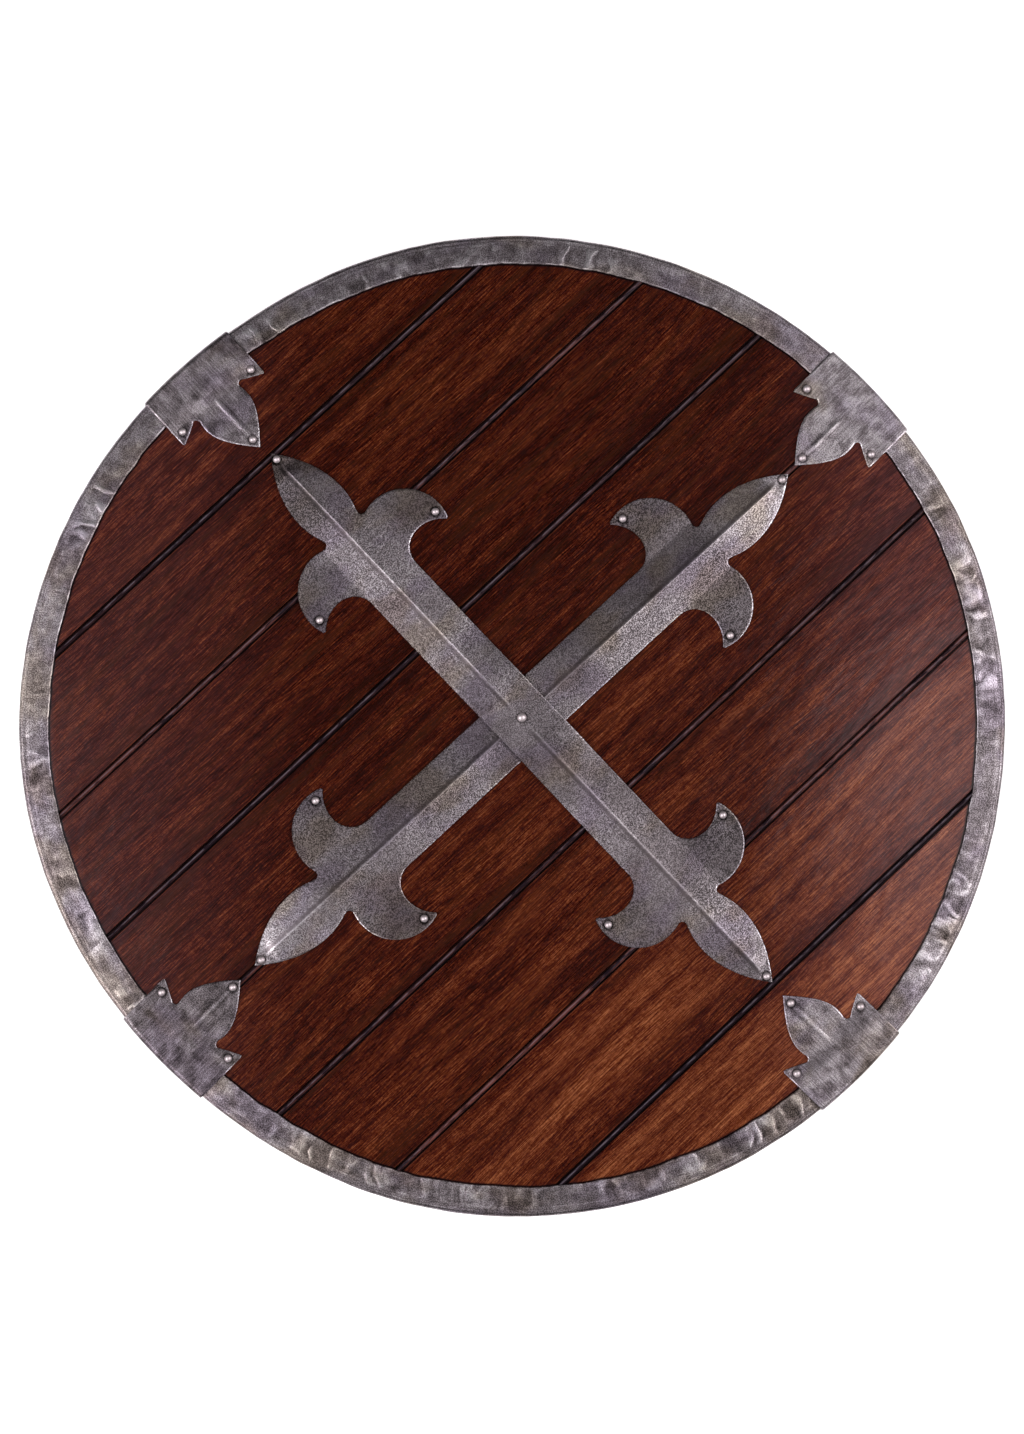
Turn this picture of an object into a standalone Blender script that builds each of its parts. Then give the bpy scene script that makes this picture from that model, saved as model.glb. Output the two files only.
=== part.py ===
"""Round wooden shield: eight boards, a steel rim, two crossed fleur-ended bars and four rim clamps.

The shield lies on its back. +Z points out of its face and the boards run along X.
The origin is on the surface that it lies on, under the middle of the boards.
"""

import math

import bmesh
import bpy
from mathutils import Matrix, Vector

MM = 0.001
GAP = 0.3 * MM  # between neighbouring pieces

# Boards
RADIUS = 305.5 * MM  # over the rim, before its flats and bulges
BOARD_THICKNESS = 12 * MM
BOARD_PITCH = 75.3 * MM
BOARD_COUNT = 8
MIDDLE_JOINT_Y = -0.8 * MM
BEAD_HALF_WIDTH = 1.7 * MM
BEAD_HEIGHT = 1.2 * MM
QUIRK_WIDTH = 0.8 * MM
QUIRK_DEPTH = 1.5 * MM
TONGUE_THICKNESS = 3.4 * MM
TONGUE_LENGTH = 4.0 * MM

# Battens under the boards, which the shield lies on
BATTEN_DEPTH = 25 * MM
BATTEN_WIDTH = 40 * MM
BATTEN_LENGTH = 500 * MM
BATTEN_X = 95 * MM
BATTEN_EDGE = 2 * MM

BOARD_BACK = BATTEN_DEPTH + GAP
BOARD_FACE = BOARD_BACK + BOARD_THICKNESS

# Straps between the battens
STRAP_WIDTH = 38 * MM
STRAP_THICKNESS = 3.5 * MM
STRAP_Y = 105 * MM
STRAP_END_X = 112 * MM
STRAP_FREE_X = 70 * MM  # it hangs free of the battens up to here
STRAP_BOTTOM = 1.7 * MM
STRAP_SAG = 1.3 * MM
SCREW_HEAD_RADIUS = 4.5 * MM
SCREW_HEAD_HEIGHT = 1.2 * MM
SCREW_RADIUS = 2.0 * MM
SCREW_LENGTH = 16 * MM
SCREW_X = 102 * MM

# Rim: a channel of sheet steel. Each deformation is (angle, depth, spread); a flat has a negative depth
SHEET = 1.2 * MM
RIM_FRONT_FLANGE = 18.2 * MM
RIM_BACK_FLANGE = 15 * MM
RIM_BEND = 2.5 * MM
RIM_SEGMENTS = 64
RIM_SEAM_ANGLE = 180.4
RIM_SEAM = 0.12  # degrees left open between the strip's two ends
BOARD_CLEARANCE = 2.2 * MM  # from the rim's outside to the boards' edge
RIM_FLATS = (
    (84, -3.5 * MM, 14),
    (188, -3.6 * MM, 15),
    (272, -0.9 * MM, 10),
    (139, 2.6 * MM, 14),
    (336, 1.8 * MM, 12),
)

# Bars: distances along a bar from its middle, and across it from its ridge
BAR_SHEET = 1.3 * MM
BAR_HALF_WIDTH = 18.75 * MM
BAR_HALF_LENGTH = 226.1 * MM
RIDGE_HEIGHT = 3.0 * MM
LEAF_NECK = 158 * MM
LEAF_START = 182 * MM
LEAF_HALF_WIDTH = 17.6 * MM
LEAF_LINE = 196 * MM  # an extra edge across the leaf
TIP_FLATTENS = (208 * MM, 217.5 * MM)  # the ridge fades out here, before the tip's nail
HOOK_CENTRE = (132.4 * MM, 26.2 * MM)
HOOK_RADIUS = 28.6 * MM
HOOK_TIP = (122.0 * MM, 51.8 * MM)
BAR_TIP_NAIL = 221 * MM
BAR_HOOK_NAIL = (130 * MM, 49.5 * MM)
UNDER_BAR = (4.4 * MM, -0.4 * MM, -0.3)  # middle and heading
OVER_BAR = (3.3 * MM, 0.5 * MM, 90.5)
UNDER_FLAT = 0.3  # share of the ridge left where the other bar crosses
UNDER_RISES = (19 * MM, 34 * MM)
OVER_LIFT = 2.5 * MM  # of the upper bar, where it crosses the lower one
OVER_RISES = (6 * MM, 14 * MM)
OVER_DROPS = (19 * MM, 60 * MM)

# Clamps: distances inwards from a clamp's outer edge, and across it from its middle
CLAMP_LENGTH = 69.8 * MM
CLAMP_HALF_WIDTH = 34 * MM
CLAMP_BEND = 3.0 * MM
CLAMP_BACK_LENGTH = 36 * MM
CLAMP_TAB_RIVET = (30.3 * MM, 28.8 * MM)
CLAMP_TIP_NAIL = 63.2 * MM
FRONT_JOGGLE = (20.5 * MM, 26.5 * MM)  # where the sheet steps down off the rim
BACK_JOGGLE = (17.5 * MM, 23.5 * MM)
FOLLOWS_RIM = (21 * MM, 36 * MM)  # curved to the rim up to the first, straight from the second
CREASE_HEIGHT = 1.2 * MM
CREASE_HALF_WIDTH = 7 * MM
CREASE_RISES = (26.5 * MM, 34 * MM)
CREASE_ENDS = (52 * MM, 59.5 * MM)
CLAMP_LINE = 20 * MM  # an extra edge either side, to keep the clamp curved with the rim
CLAMPS = ((0.3, 1.4), (90.2, -0.2), (180.4, 1.8), (271.5, 1.4))  # place on the rim, and skew

# Nails and rivets
NAIL_HEAD_RADIUS = 2.65 * MM
NAIL_HEAD_HEIGHT = 1.8 * MM
NAIL_RADIUS = 1.4 * MM
NAIL_DEPTH = 9 * MM  # into the board
NAIL_SIDES = 8
HOLE_RADIUS = 1.8 * MM
HOLE_SIDES = 6
TAIL_RADIUS = 2.4 * MM
TAIL_HEIGHT = 1.1 * MM

CURVE_STEPS = 4  # straight edges for each stretch of a curved outline
WELD = 0.00001
SHARP_ANGLE = math.radians(30)  # edges turn smoothly up to this


# ---------------------------------------------------------------- scene and materials

def clear_scene():
    for item in list(bpy.data.objects):
        bpy.data.objects.remove(item)


def new_collection(name):
    collection = bpy.data.collections.new(name)
    bpy.context.scene.collection.children.link(collection)
    return collection


def new_material(name, colour, roughness, metallic=0.0):
    material = bpy.data.materials.new(name)
    material.use_nodes = True
    shader = material.node_tree.nodes["Principled BSDF"]
    shader.inputs["Base Color"].default_value = (*colour, 1)
    shader.inputs["Roughness"].default_value = roughness
    shader.inputs["Metallic"].default_value = metallic
    return material


def add_object(name, mesh, material, place=(0, 0, 0), turn=0.0):
    item = bpy.data.objects.new(name, mesh)
    mesh.materials.clear()
    mesh.materials.append(material)
    mesh.shade_smooth()
    mesh.set_sharp_from_angle(angle=SHARP_ANGLE)
    parts.objects.link(item)
    item.parent = shield
    item.location = place
    item.rotation_euler.z = math.radians(turn)
    return item


def add_cutter(name, mesh):
    item = bpy.data.objects.new(name, mesh)
    cutters.objects.link(item)
    item.hide_render = True
    item.display_type = "WIRE"
    return item


def mesh_of(name, shape):
    mesh = bpy.data.meshes.new(name)
    shape.to_mesh(mesh)
    shape.free()
    return mesh


def cut(item, cutter, operation="DIFFERENCE"):
    boolean = item.modifiers.new(cutter.name, "BOOLEAN")
    boolean.operation = operation
    boolean.object = cutter
    boolean.solver = "EXACT"


# ---------------------------------------------------------------- sheet cut to an outline

def ease(value, start, end):
    """0 at start, 1 at end, level at both."""
    share = min(1.0, max(0.0, (value - start) / (end - start)))
    return share * share * (3 - 2 * share)


class Outline:
    """A path of straight and curved stretches, as the knots of a Bezier spline: (handle, point, handle)."""

    def __init__(self, start):
        self.knots = [[start, start, start]]

    def line(self, end):
        self.knots.append([end, end, end])

    def curve(self, leaving, arriving, end):
        self.knots[-1][2] = leaving
        self.knots.append([arriving, end, end])

    def arc(self, centre, radius, start, end, spans):
        """From the last point, which is at the angle start, round the centre to the angle end."""
        step = math.radians(end - start) / spans
        reach = radius * 4 / 3 * math.tan(step / 4)
        for span in range(spans):
            first = math.radians(start) + span * step
            last = first + step
            leaving = around(centre, radius, first, reach)
            arriving = around(centre, radius, last, -reach)
            self.curve(leaving, arriving, around(centre, radius, last, 0))


def around(centre, radius, angle, ahead):
    """The point at an angle round a centre, moved ahead along the circle's tangent."""
    across = (math.cos(angle), math.sin(angle))
    return (centre[0] + radius * across[0] - ahead * across[1],
            centre[1] + radius * across[1] + ahead * across[0])


def mirrored(knots, flip_x, flip_y):
    """The knots reflected, in the order that carries on from their last one."""
    def flip(point):
        return (point[0] * flip_x, point[1] * flip_y)
    return [[flip(after), flip(point), flip(before)] for before, point, after in reversed(knots)]


def closed_outline(knots):
    """Joins knots that follow each other round, where a shared point comes twice."""
    joined = []
    for before, point, after in knots:
        if joined and (Vector(joined[-1][1]) - Vector(point)).length < WELD:
            joined[-1][2] = after
        else:
            joined.append([before, point, after])
    if (Vector(joined[0][1]) - Vector(joined[-1][1])).length < WELD:
        joined[0][0] = joined.pop()[0]
    return joined


def cut_sheet(name, knots, thickness, across=(), along=()):
    """A flat plate of a sheet's thickness, with extra edges at these distances across and along it."""
    curve = bpy.data.curves.new(name, "CURVE")
    curve.dimensions = "2D"
    curve.fill_mode = "BOTH"
    curve.extrude = thickness / 2
    curve.resolution_u = CURVE_STEPS
    spline = curve.splines.new("BEZIER")
    spline.bezier_points.add(len(knots) - 1)
    spline.use_cyclic_u = True
    for knot, (before, point, after) in zip(spline.bezier_points, knots):
        knot.handle_left_type = "VECTOR" if before == point else "FREE"
        knot.handle_right_type = "VECTOR" if after == point else "FREE"
        knot.co = (*point, 0)
        knot.handle_left = (*before, 0)
        knot.handle_right = (*after, 0)
    guide = bpy.data.objects.new(name, curve)
    bpy.context.scene.collection.objects.link(guide)
    evaluated = guide.evaluated_get(bpy.context.evaluated_depsgraph_get())
    flat = bpy.data.meshes.new_from_object(evaluated)
    bpy.data.objects.remove(guide)

    shape = bmesh.new()
    shape.from_mesh(flat)
    bmesh.ops.remove_doubles(shape, verts=shape.verts, dist=WELD)
    bmesh.ops.dissolve_limit(shape, angle_limit=math.radians(0.5), verts=shape.verts, edges=shape.edges)
    for direction, places in (((0, 1, 0), across), ((1, 0, 0), along)):
        for place in places:
            everything = shape.verts[:] + shape.edges[:] + shape.faces[:]
            bmesh.ops.bisect_plane(shape, geom=everything, dist=WELD, plane_no=direction,
                                   plane_co=Vector(direction) * place)
    bmesh.ops.triangulate(shape, faces=shape.faces)
    for vertex in shape.verts:
        vertex.co.z += thickness / 2
    return shape


# ---------------------------------------------------------------- boards

def rim_radius(angle):
    """The rim's outer radius at an angle in degrees, with its hammered flats and bulges."""
    radius = RADIUS
    for centre, depth, spread in RIM_FLATS:
        away = (angle - centre + 180) % 360 - 180
        radius += depth * math.exp(-0.5 * (away / spread) ** 2)
    return radius


def make_disc_cutter():
    shape = bmesh.new()
    bmesh.ops.create_circle(shape, cap_ends=True, segments=RIM_SEGMENTS, radius=1)
    for number, vertex in enumerate(shape.verts):
        angle = RIM_SEAM_ANGLE + number * 360 / RIM_SEGMENTS
        radius = rim_radius(angle) - BOARD_CLEARANCE
        vertex.co = (radius * math.cos(math.radians(angle)), radius * math.sin(math.radians(angle)), 0)
    grown = bmesh.ops.extrude_face_region(shape, geom=shape.faces[:])
    top = [item for item in grown["geom"] if isinstance(item, bmesh.types.BMVert)]
    bmesh.ops.translate(shape, verts=top, vec=(0, 0, BOARD_FACE + BATTEN_DEPTH))
    bmesh.ops.recalc_face_normals(shape, faces=shape.faces)
    return add_cutter("disc_outline", mesh_of("disc_outline", shape))


def plank_section(low, high, first, last):
    """A board's section as (y, z) points: tongue at its low edge, groove and bead at its high edge."""
    side = BEAD_HALF_WIDTH
    quirk_floor = BOARD_FACE - QUIRK_DEPTH
    middle = BOARD_BACK + BOARD_THICKNESS / 2
    tongue = TONGUE_THICKNESS / 2
    points = []
    if first:
        points += [(low, BOARD_FACE), (low, BOARD_BACK)]
    else:
        edge = low + side + GAP
        points += [
            (low + side + QUIRK_WIDTH, BOARD_FACE),
            (low + side + QUIRK_WIDTH, quirk_floor),
            (edge, quirk_floor),
            (edge, middle + tongue),
            (edge - TONGUE_LENGTH, middle + tongue),
            (edge - TONGUE_LENGTH, middle - tongue),
            (edge, middle - tongue),
            (edge, BOARD_BACK),
        ]
    if last:
        points += [(high, BOARD_BACK), (high, BOARD_FACE)]
    else:
        groove = tongue + GAP
        bottom = high + side - TONGUE_LENGTH - GAP
        points += [
            (high + side, BOARD_BACK),
            (high + side, middle - groove),
            (bottom, middle - groove),
            (bottom, middle + groove),
            (high + side, middle + groove),
            (high + side, quirk_floor),
        ]
        bead_radius = (side ** 2 + BEAD_HEIGHT ** 2) / (2 * BEAD_HEIGHT)
        opening = math.asin(side / bead_radius)
        for share in (0.5, 0, -0.5, -1):
            angle = share * opening
            drop = bead_radius * (1 - math.cos(angle))
            points.append((high + bead_radius * math.sin(angle), quirk_floor + BEAD_HEIGHT - drop))
        points += [
            (high - side - QUIRK_WIDTH, quirk_floor),
            (high - side - QUIRK_WIDTH, BOARD_FACE),
        ]
    return points


def make_planks(material, disc, holes):
    reach = RADIUS + 10 * MM
    for number in range(BOARD_COUNT):
        first = number == 0
        last = number == BOARD_COUNT - 1
        low = -reach if first else MIDDLE_JOINT_Y + (number - BOARD_COUNT / 2) * BOARD_PITCH
        high = reach if last else MIDDLE_JOINT_Y + (number + 1 - BOARD_COUNT / 2) * BOARD_PITCH
        shape = bmesh.new()
        ring = [shape.verts.new((-reach, y, z)) for y, z in plank_section(low, high, first, last)]
        grown = bmesh.ops.extrude_face_region(shape, geom=[shape.faces.new(ring)])
        end = [item for item in grown["geom"] if isinstance(item, bmesh.types.BMVert)]
        bmesh.ops.translate(shape, verts=end, vec=(2 * reach, 0, 0))
        bmesh.ops.recalc_face_normals(shape, faces=shape.faces)
        name = f"plank_{number + 1}"
        plank = add_object(name, mesh_of(name, shape), material)
        cut(plank, disc, "INTERSECT")
        cut(plank, holes)


# ---------------------------------------------------------------- rim

def rim_section():
    """The channel's section as (distance from the rim's outside, z) points, flanges pointing inwards."""
    top = BOARD_FACE + GAP + SHEET
    bottom = BOARD_BACK - GAP - SHEET
    points = [(-RIM_FRONT_FLANGE, top - SHEET), (-RIM_FRONT_FLANGE, top)]
    for angle in (90, 45, 0):
        points.append(bend_point(top - RIM_BEND, RIM_BEND, angle))
    for angle in (0, -90):
        points.append(bend_point(bottom + RIM_BEND, RIM_BEND, angle))
    points += [
        (-RIM_BACK_FLANGE, bottom),
        (-RIM_BACK_FLANGE, bottom + SHEET),
        (-SHEET, bottom + SHEET),
        (-SHEET, top - SHEET),
    ]
    return points


def bend_point(height, radius, angle):
    turn = math.radians(angle)
    return (-RIM_BEND + radius * math.cos(turn), height + radius * math.sin(turn))


def make_rim(material):
    shape = bmesh.new()
    start = Matrix.Rotation(math.radians(RIM_SEAM_ANGLE + RIM_SEAM / 2), 4, "Z")
    ring = [shape.verts.new(start @ Vector((RADIUS + depth, 0, z))) for depth, z in rim_section()]
    face = shape.faces.new(ring)
    bmesh.ops.spin(shape, geom=[face, *face.edges, *face.verts], cent=(0, 0, 0), axis=(0, 0, 1),
                   angle=math.radians(360 - RIM_SEAM), steps=RIM_SEGMENTS)
    for vertex in shape.verts:
        angle = math.degrees(math.atan2(vertex.co.y, vertex.co.x))
        outwards = vertex.co.xy.normalized() * (rim_radius(angle) - RADIUS)
        vertex.co += outwards.to_3d()
    bmesh.ops.recalc_face_normals(shape, faces=shape.faces)
    add_object("rim_band", mesh_of("rim_band", shape), material)


# ---------------------------------------------------------------- crossed bars

def leaf_half_width(along):
    """The leaf's half width past its widest place, a parabola that ends at the tip."""
    share = (along - LEAF_START) / (BAR_HALF_LENGTH - LEAF_START)
    return LEAF_HALF_WIDTH * (1 - share * share)


def bar_outline():
    """The whole outline of a bar, from a quarter of it."""
    quarter = Outline((0, BAR_HALF_WIDTH))
    quarter.line((115.5 * MM, BAR_HALF_WIDTH))
    quarter.curve((123.5 * MM, BAR_HALF_WIDTH), (129.8 * MM, 25.5 * MM), (129.8 * MM, 34.5 * MM))
    quarter.curve((129.8 * MM, 41 * MM), (127 * MM, 47 * MM), HOOK_TIP)
    quarter.line(around(HOOK_CENTRE, HOOK_RADIUS, math.radians(110), 0))
    quarter.arc(HOOK_CENTRE, HOOK_RADIUS, 110, -19, 2)
    quarter.curve((159.8 * MM, 15.3 * MM), (160.8 * MM, 13.8 * MM), (162.3 * MM, 13.8 * MM))
    quarter.curve((164.5 * MM, 13.8 * MM), (171 * MM, LEAF_HALF_WIDTH), (LEAF_START, LEAF_HALF_WIDTH))
    # The handles below make the spline the leaf's parabola exactly
    length = BAR_HALF_LENGTH - LEAF_START
    quarter.curve((LEAF_START + length / 3, LEAF_HALF_WIDTH),
                  (LEAF_START + length * 2 / 3, LEAF_HALF_WIDTH * 2 / 3), (BAR_HALF_LENGTH, 0))
    right = quarter.knots + mirrored(quarter.knots, 1, -1)
    return closed_outline(right + mirrored(right, -1, 1))


def roof(along, across):
    """How far the sheet stands up beside its ridge: full on the bar, and down with the leaf's width."""
    half = BAR_HALF_WIDTH - (BAR_HALF_WIDTH - LEAF_HALF_WIDTH) * ease(along, LEAF_NECK, LEAF_START)
    if along > LEAF_START:
        half = leaf_half_width(along)
    flattened = 1 - ease(along, *TIP_FLATTENS)
    slope = RIDGE_HEIGHT / BAR_HALF_WIDTH
    return slope * max(0.0, half - abs(across)) * flattened


def under_bar_height(along, across):
    crossing = UNDER_FLAT + (1 - UNDER_FLAT) * ease(along, *UNDER_RISES)
    return roof(along, across) * crossing


def over_bar_height(along, across):
    lift = OVER_LIFT * (1 - ease(along, *OVER_DROPS))
    return lift + roof(along, across) * ease(along, *OVER_RISES)


def make_bar(name, material, holes, place, height, stations):
    x, y, heading = place
    ends = [*stations, LEAF_NECK, LEAF_START, LEAF_LINE, *TIP_FLATTENS]
    along = [0] + [side * station for side in (-1, 1) for station in ends]
    shape = cut_sheet(name, bar_outline(), BAR_SHEET, (-BAR_HALF_WIDTH, 0, BAR_HALF_WIDTH), along)
    for vertex in shape.verts:
        vertex.co.z += height(abs(vertex.co.x), vertex.co.y)
    bar = add_object(name, mesh_of(name, shape), material, (x, y, BOARD_FACE + GAP), heading)
    cut(bar, holes)


def bar_nail_places():
    """(x, y, heights above the board's face) of the nails of both bars."""
    hook_along, hook_across = BAR_HOOK_NAIL
    spots = [(side * BAR_TIP_NAIL, 0) for side in (-1, 1)]
    spots += [(side * hook_along, edge * hook_across) for side in (-1, 1) for edge in (-1, 1)]
    places = []
    for x, y, heading in (UNDER_BAR, OVER_BAR):
        turn = Matrix.Rotation(math.radians(heading), 2)
        for spot in spots:
            moved = turn @ Vector(spot)
            places.append((x + moved.x, y + moved.y, BOARD_FACE + 2 * GAP + BAR_SHEET))
    return places


def centre_nail_place():
    return (OVER_BAR[0], OVER_BAR[1], BOARD_FACE + 2 * GAP + BAR_SHEET + OVER_LIFT)


# ---------------------------------------------------------------- rim clamps

CLAMP_TOP = BOARD_FACE + 2 * (GAP + SHEET)
CLAMP_BOTTOM = BOARD_BACK - 2 * (GAP + SHEET)
CLAMP_STEP = GAP + SHEET  # down from the rim to the boards
BEND_LENGTH = CLAMP_BEND * math.pi / 2
WEB_LENGTH = CLAMP_TOP - CLAMP_BOTTOM - 2 * CLAMP_BEND


def clamp_outline():
    """The clamp as cut from sheet before folding. Y is 0 where the front bend starts, and rises inwards
    over the back flange."""
    def front(inwards, across):
        return (across, CLAMP_BEND - inwards)

    end = 2 * BEND_LENGTH + WEB_LENGTH + CLAMP_BACK_LENGTH - CLAMP_BEND
    half = Outline((0, end))
    half.line((CLAMP_HALF_WIDTH, end))
    half.line(front(36 * MM, CLAMP_HALF_WIDTH))
    half.line(front(37.4 * MM, 33.3 * MM))
    half.curve(front(36 * MM, 30 * MM), front(33 * MM, 24 * MM), front(30.2 * MM, 19.6 * MM))
    half.curve(front(30 * MM, 18.2 * MM), front(31.4 * MM, 16.7 * MM), front(33.4 * MM, 16.6 * MM))
    half.curve(front(36 * MM, 17.5 * MM), front(41 * MM, 17.8 * MM), front(45 * MM, 16.6 * MM))
    half.curve(front(53 * MM, 14.3 * MM), front(60 * MM, 8.5 * MM), front(CLAMP_LENGTH, 0))
    return closed_outline(half.knots + mirrored(half.knots, -1, 1))


def fold(across, run, depth, sag):
    """Where a point of the cut sheet lies on the folded clamp. run is its distance past the front bend's
    start, depth how far it is under the sheet's outer surface, and sag how far the rim falls back there.
    Y is 0 at the middle of the outer edge."""
    if run <= 0:
        inwards = CLAMP_BEND - run
        follows = 1 - ease(inwards, *FOLLOWS_RIM)
        crease = CREASE_HEIGHT * ease(inwards, *CREASE_RISES) * (1 - ease(inwards, *CREASE_ENDS))
        height = CLAMP_TOP - CLAMP_STEP * ease(inwards, *FRONT_JOGGLE)
        height += crease * max(0.0, 1 - abs(across) / CREASE_HALF_WIDTH)
        return (across, -inwards - sag * follows, height - depth)
    if run <= BEND_LENGTH:
        turn = run / CLAMP_BEND
        radius = CLAMP_BEND - depth
        return (across, -CLAMP_BEND - sag + radius * math.sin(turn),
                CLAMP_TOP - CLAMP_BEND + radius * math.cos(turn))
    run -= BEND_LENGTH
    if run <= WEB_LENGTH:
        return (across, -sag - depth, CLAMP_TOP - CLAMP_BEND - run)
    run -= WEB_LENGTH
    if run <= BEND_LENGTH:
        turn = run / CLAMP_BEND
        radius = CLAMP_BEND - depth
        return (across, -CLAMP_BEND - sag + radius * math.cos(turn),
                CLAMP_BOTTOM + CLAMP_BEND - radius * math.sin(turn))
    inwards = CLAMP_BEND + run - BEND_LENGTH
    height = CLAMP_BOTTOM + CLAMP_STEP * ease(inwards, *BACK_JOGGLE)
    return (across, -inwards - sag, height + depth)


def over_rim(angle):
    """The point on the clamps' outer surface at an angle round the rim."""
    radius = rim_radius(angle) + GAP + SHEET
    return Vector((radius * math.cos(math.radians(angle)), radius * math.sin(math.radians(angle))))


def clamp_places():
    """(x, y, heading) of the outer edge of each clamp."""
    return [(*over_rim(angle), angle - 90 + skew) for angle, skew in CLAMPS]


def rim_falls_back(angle, skew, across):
    """How far the rim is inside a clamp's own Y = 0, at a distance across the clamp."""
    beside = angle - math.degrees(math.asin(across / RADIUS))
    away = over_rim(beside) - over_rim(angle)
    return -(Matrix.Rotation(math.radians(90 - angle - skew), 2) @ away).y


def make_clamps(material, holes):
    back_start = 2 * BEND_LENGTH + WEB_LENGTH
    stations = [CLAMP_BEND - inwards for inwards in (*CREASE_ENDS, *CREASE_RISES, *FRONT_JOGGLE[:1])]
    stations += [0, BEND_LENGTH / 2, BEND_LENGTH, BEND_LENGTH + WEB_LENGTH, back_start]
    stations += [back_start - CLAMP_BEND + inwards for inwards in BACK_JOGGLE]
    across = [side * width for side in (-1, 1) for width in (CREASE_HALF_WIDTH, CLAMP_LINE)] + [0]
    for number, (x, y, heading) in enumerate(clamp_places(), 1):
        name = f"rim_clamp_{number}"
        shape = cut_sheet(name, clamp_outline(), SHEET, stations, across)
        for vertex in shape.verts:
            sag = rim_falls_back(*CLAMPS[number - 1], vertex.co.x)
            vertex.co = fold(vertex.co.x, vertex.co.y, SHEET - vertex.co.z, sag)
        clamp = add_object(name, mesh_of(name, shape), material, (x, y, 0), heading)
        cut(clamp, holes)


def on_clamps(inwards, acrosses):
    """World places at this distance inwards from each clamp's outer edge."""
    places = []
    for x, y, heading in clamp_places():
        turn = Matrix.Rotation(math.radians(heading), 2)
        for across in acrosses:
            moved = turn @ Vector((across, -inwards))
            places.append((x + moved.x, y + moved.y, CLAMP_TOP - CLAMP_STEP + GAP))
    return places


# ---------------------------------------------------------------- nails, rivets and their holes

def dome(radius, height, base, rising):
    """A round head's profile from its middle to its edge, or back. base is the height of its flat side."""
    sphere = (radius ** 2 + height ** 2) / (2 * height)
    points = []
    for share in (0, 0.6, 1):
        angle = share * math.asin(min(1.0, radius / sphere))
        drop = sphere * (1 - math.cos(angle))
        points.append((sphere * math.sin(angle), base + math.copysign(height - drop, rising)))
    points[0] = (0, base + math.copysign(height, rising))
    points[-1] = (radius, base)
    return points if rising > 0 else points[::-1]


def turned(name, profile, sides):
    """A solid of revolution, as a profile at +X that runs from its top to its bottom."""
    shape = bmesh.new()
    line = [shape.verts.new((x, 0, z)) for x, z in profile]
    for start, end in zip(line, line[1:]):
        shape.edges.new((start, end))
    mesh = mesh_of(name, shape)

    def add(node, material, place):
        item = add_object(node, mesh, material, place)
        screw = item.modifiers.new("turn", "SCREW")
        screw.steps = sides
        screw.render_steps = sides
        screw.use_merge_vertices = True
        screw.merge_threshold = WELD
        screw.use_smooth_shade = True
        return item

    return add


def make_nails(material):
    shank = [(NAIL_RADIUS, 0), (NAIL_RADIUS, -NAIL_DEPTH - BAR_SHEET - 2 * GAP)]
    shank.append((0, shank[-1][1]))
    add = turned("nail", dome(NAIL_HEAD_RADIUS, NAIL_HEAD_HEIGHT, 0, 1) + shank, NAIL_SIDES)
    for number, place in enumerate(bar_nail_places(), 1):
        add(f"bar_nail_{number}", material, place)
    for number, place in enumerate(on_clamps(CLAMP_TIP_NAIL, [0]), 1):
        add(f"clamp_nail_{number}", material, place)
    deeper = [(x, z - OVER_LIFT if z < 0 else z) for x, z in shank]
    add = turned("centre_nail", dome(NAIL_HEAD_RADIUS, NAIL_HEAD_HEIGHT, 0, 1) + deeper, NAIL_SIDES)
    add("centre_nail", material, centre_nail_place())


def make_rivets(material):
    seat = -(CLAMP_TOP - CLAMP_BOTTOM - 2 * CLAMP_STEP + 2 * GAP)
    profile = dome(NAIL_HEAD_RADIUS, NAIL_HEAD_HEIGHT, 0, 1)
    profile += [(NAIL_RADIUS, 0), (NAIL_RADIUS, seat)]
    profile += dome(TAIL_RADIUS, TAIL_HEIGHT, seat, -1)
    add = turned("rivet", profile, NAIL_SIDES)
    inwards, across = CLAMP_TAB_RIVET
    for number, place in enumerate(on_clamps(inwards, [-across, across]), 1):
        add(f"clamp_rivet_{number}", material, place)


def make_hole_cutter():
    """All the nail and rivet holes as one cutter. Nail holes are blind, and rivet holes go right through."""
    inwards, across = CLAMP_TAB_RIVET
    blind = bar_nail_places() + on_clamps(CLAMP_TIP_NAIL, [0]) + [centre_nail_place()]
    through = on_clamps(inwards, [-across, across])
    spans = [(place, BOARD_FACE - NAIL_DEPTH - 2 * GAP) for place in blind]
    spans += [(place, CLAMP_BOTTOM - SHEET) for place in through]
    shape = bmesh.new()
    for (x, y, top), bottom in spans:
        top += SHEET
        middle = Matrix.Translation((x, y, (top + bottom) / 2))
        drill(shape, middle, HOLE_RADIUS, top - bottom)
    return add_cutter("nail_holes", mesh_of("nail_holes", shape))


def drill(shape, middle, radius, length):
    bmesh.ops.create_cone(shape, cap_ends=True, segments=HOLE_SIDES, radius1=radius, radius2=radius,
                          depth=length, matrix=middle)


# ---------------------------------------------------------------- back: battens, straps and screws

def box(shape, low, high):
    size = Vector(high) - Vector(low)
    middle = (Vector(high) + Vector(low)) / 2
    bmesh.ops.create_cube(shape, size=1, matrix=Matrix.Translation(middle) @ Matrix.Diagonal((*size, 1)))


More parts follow.
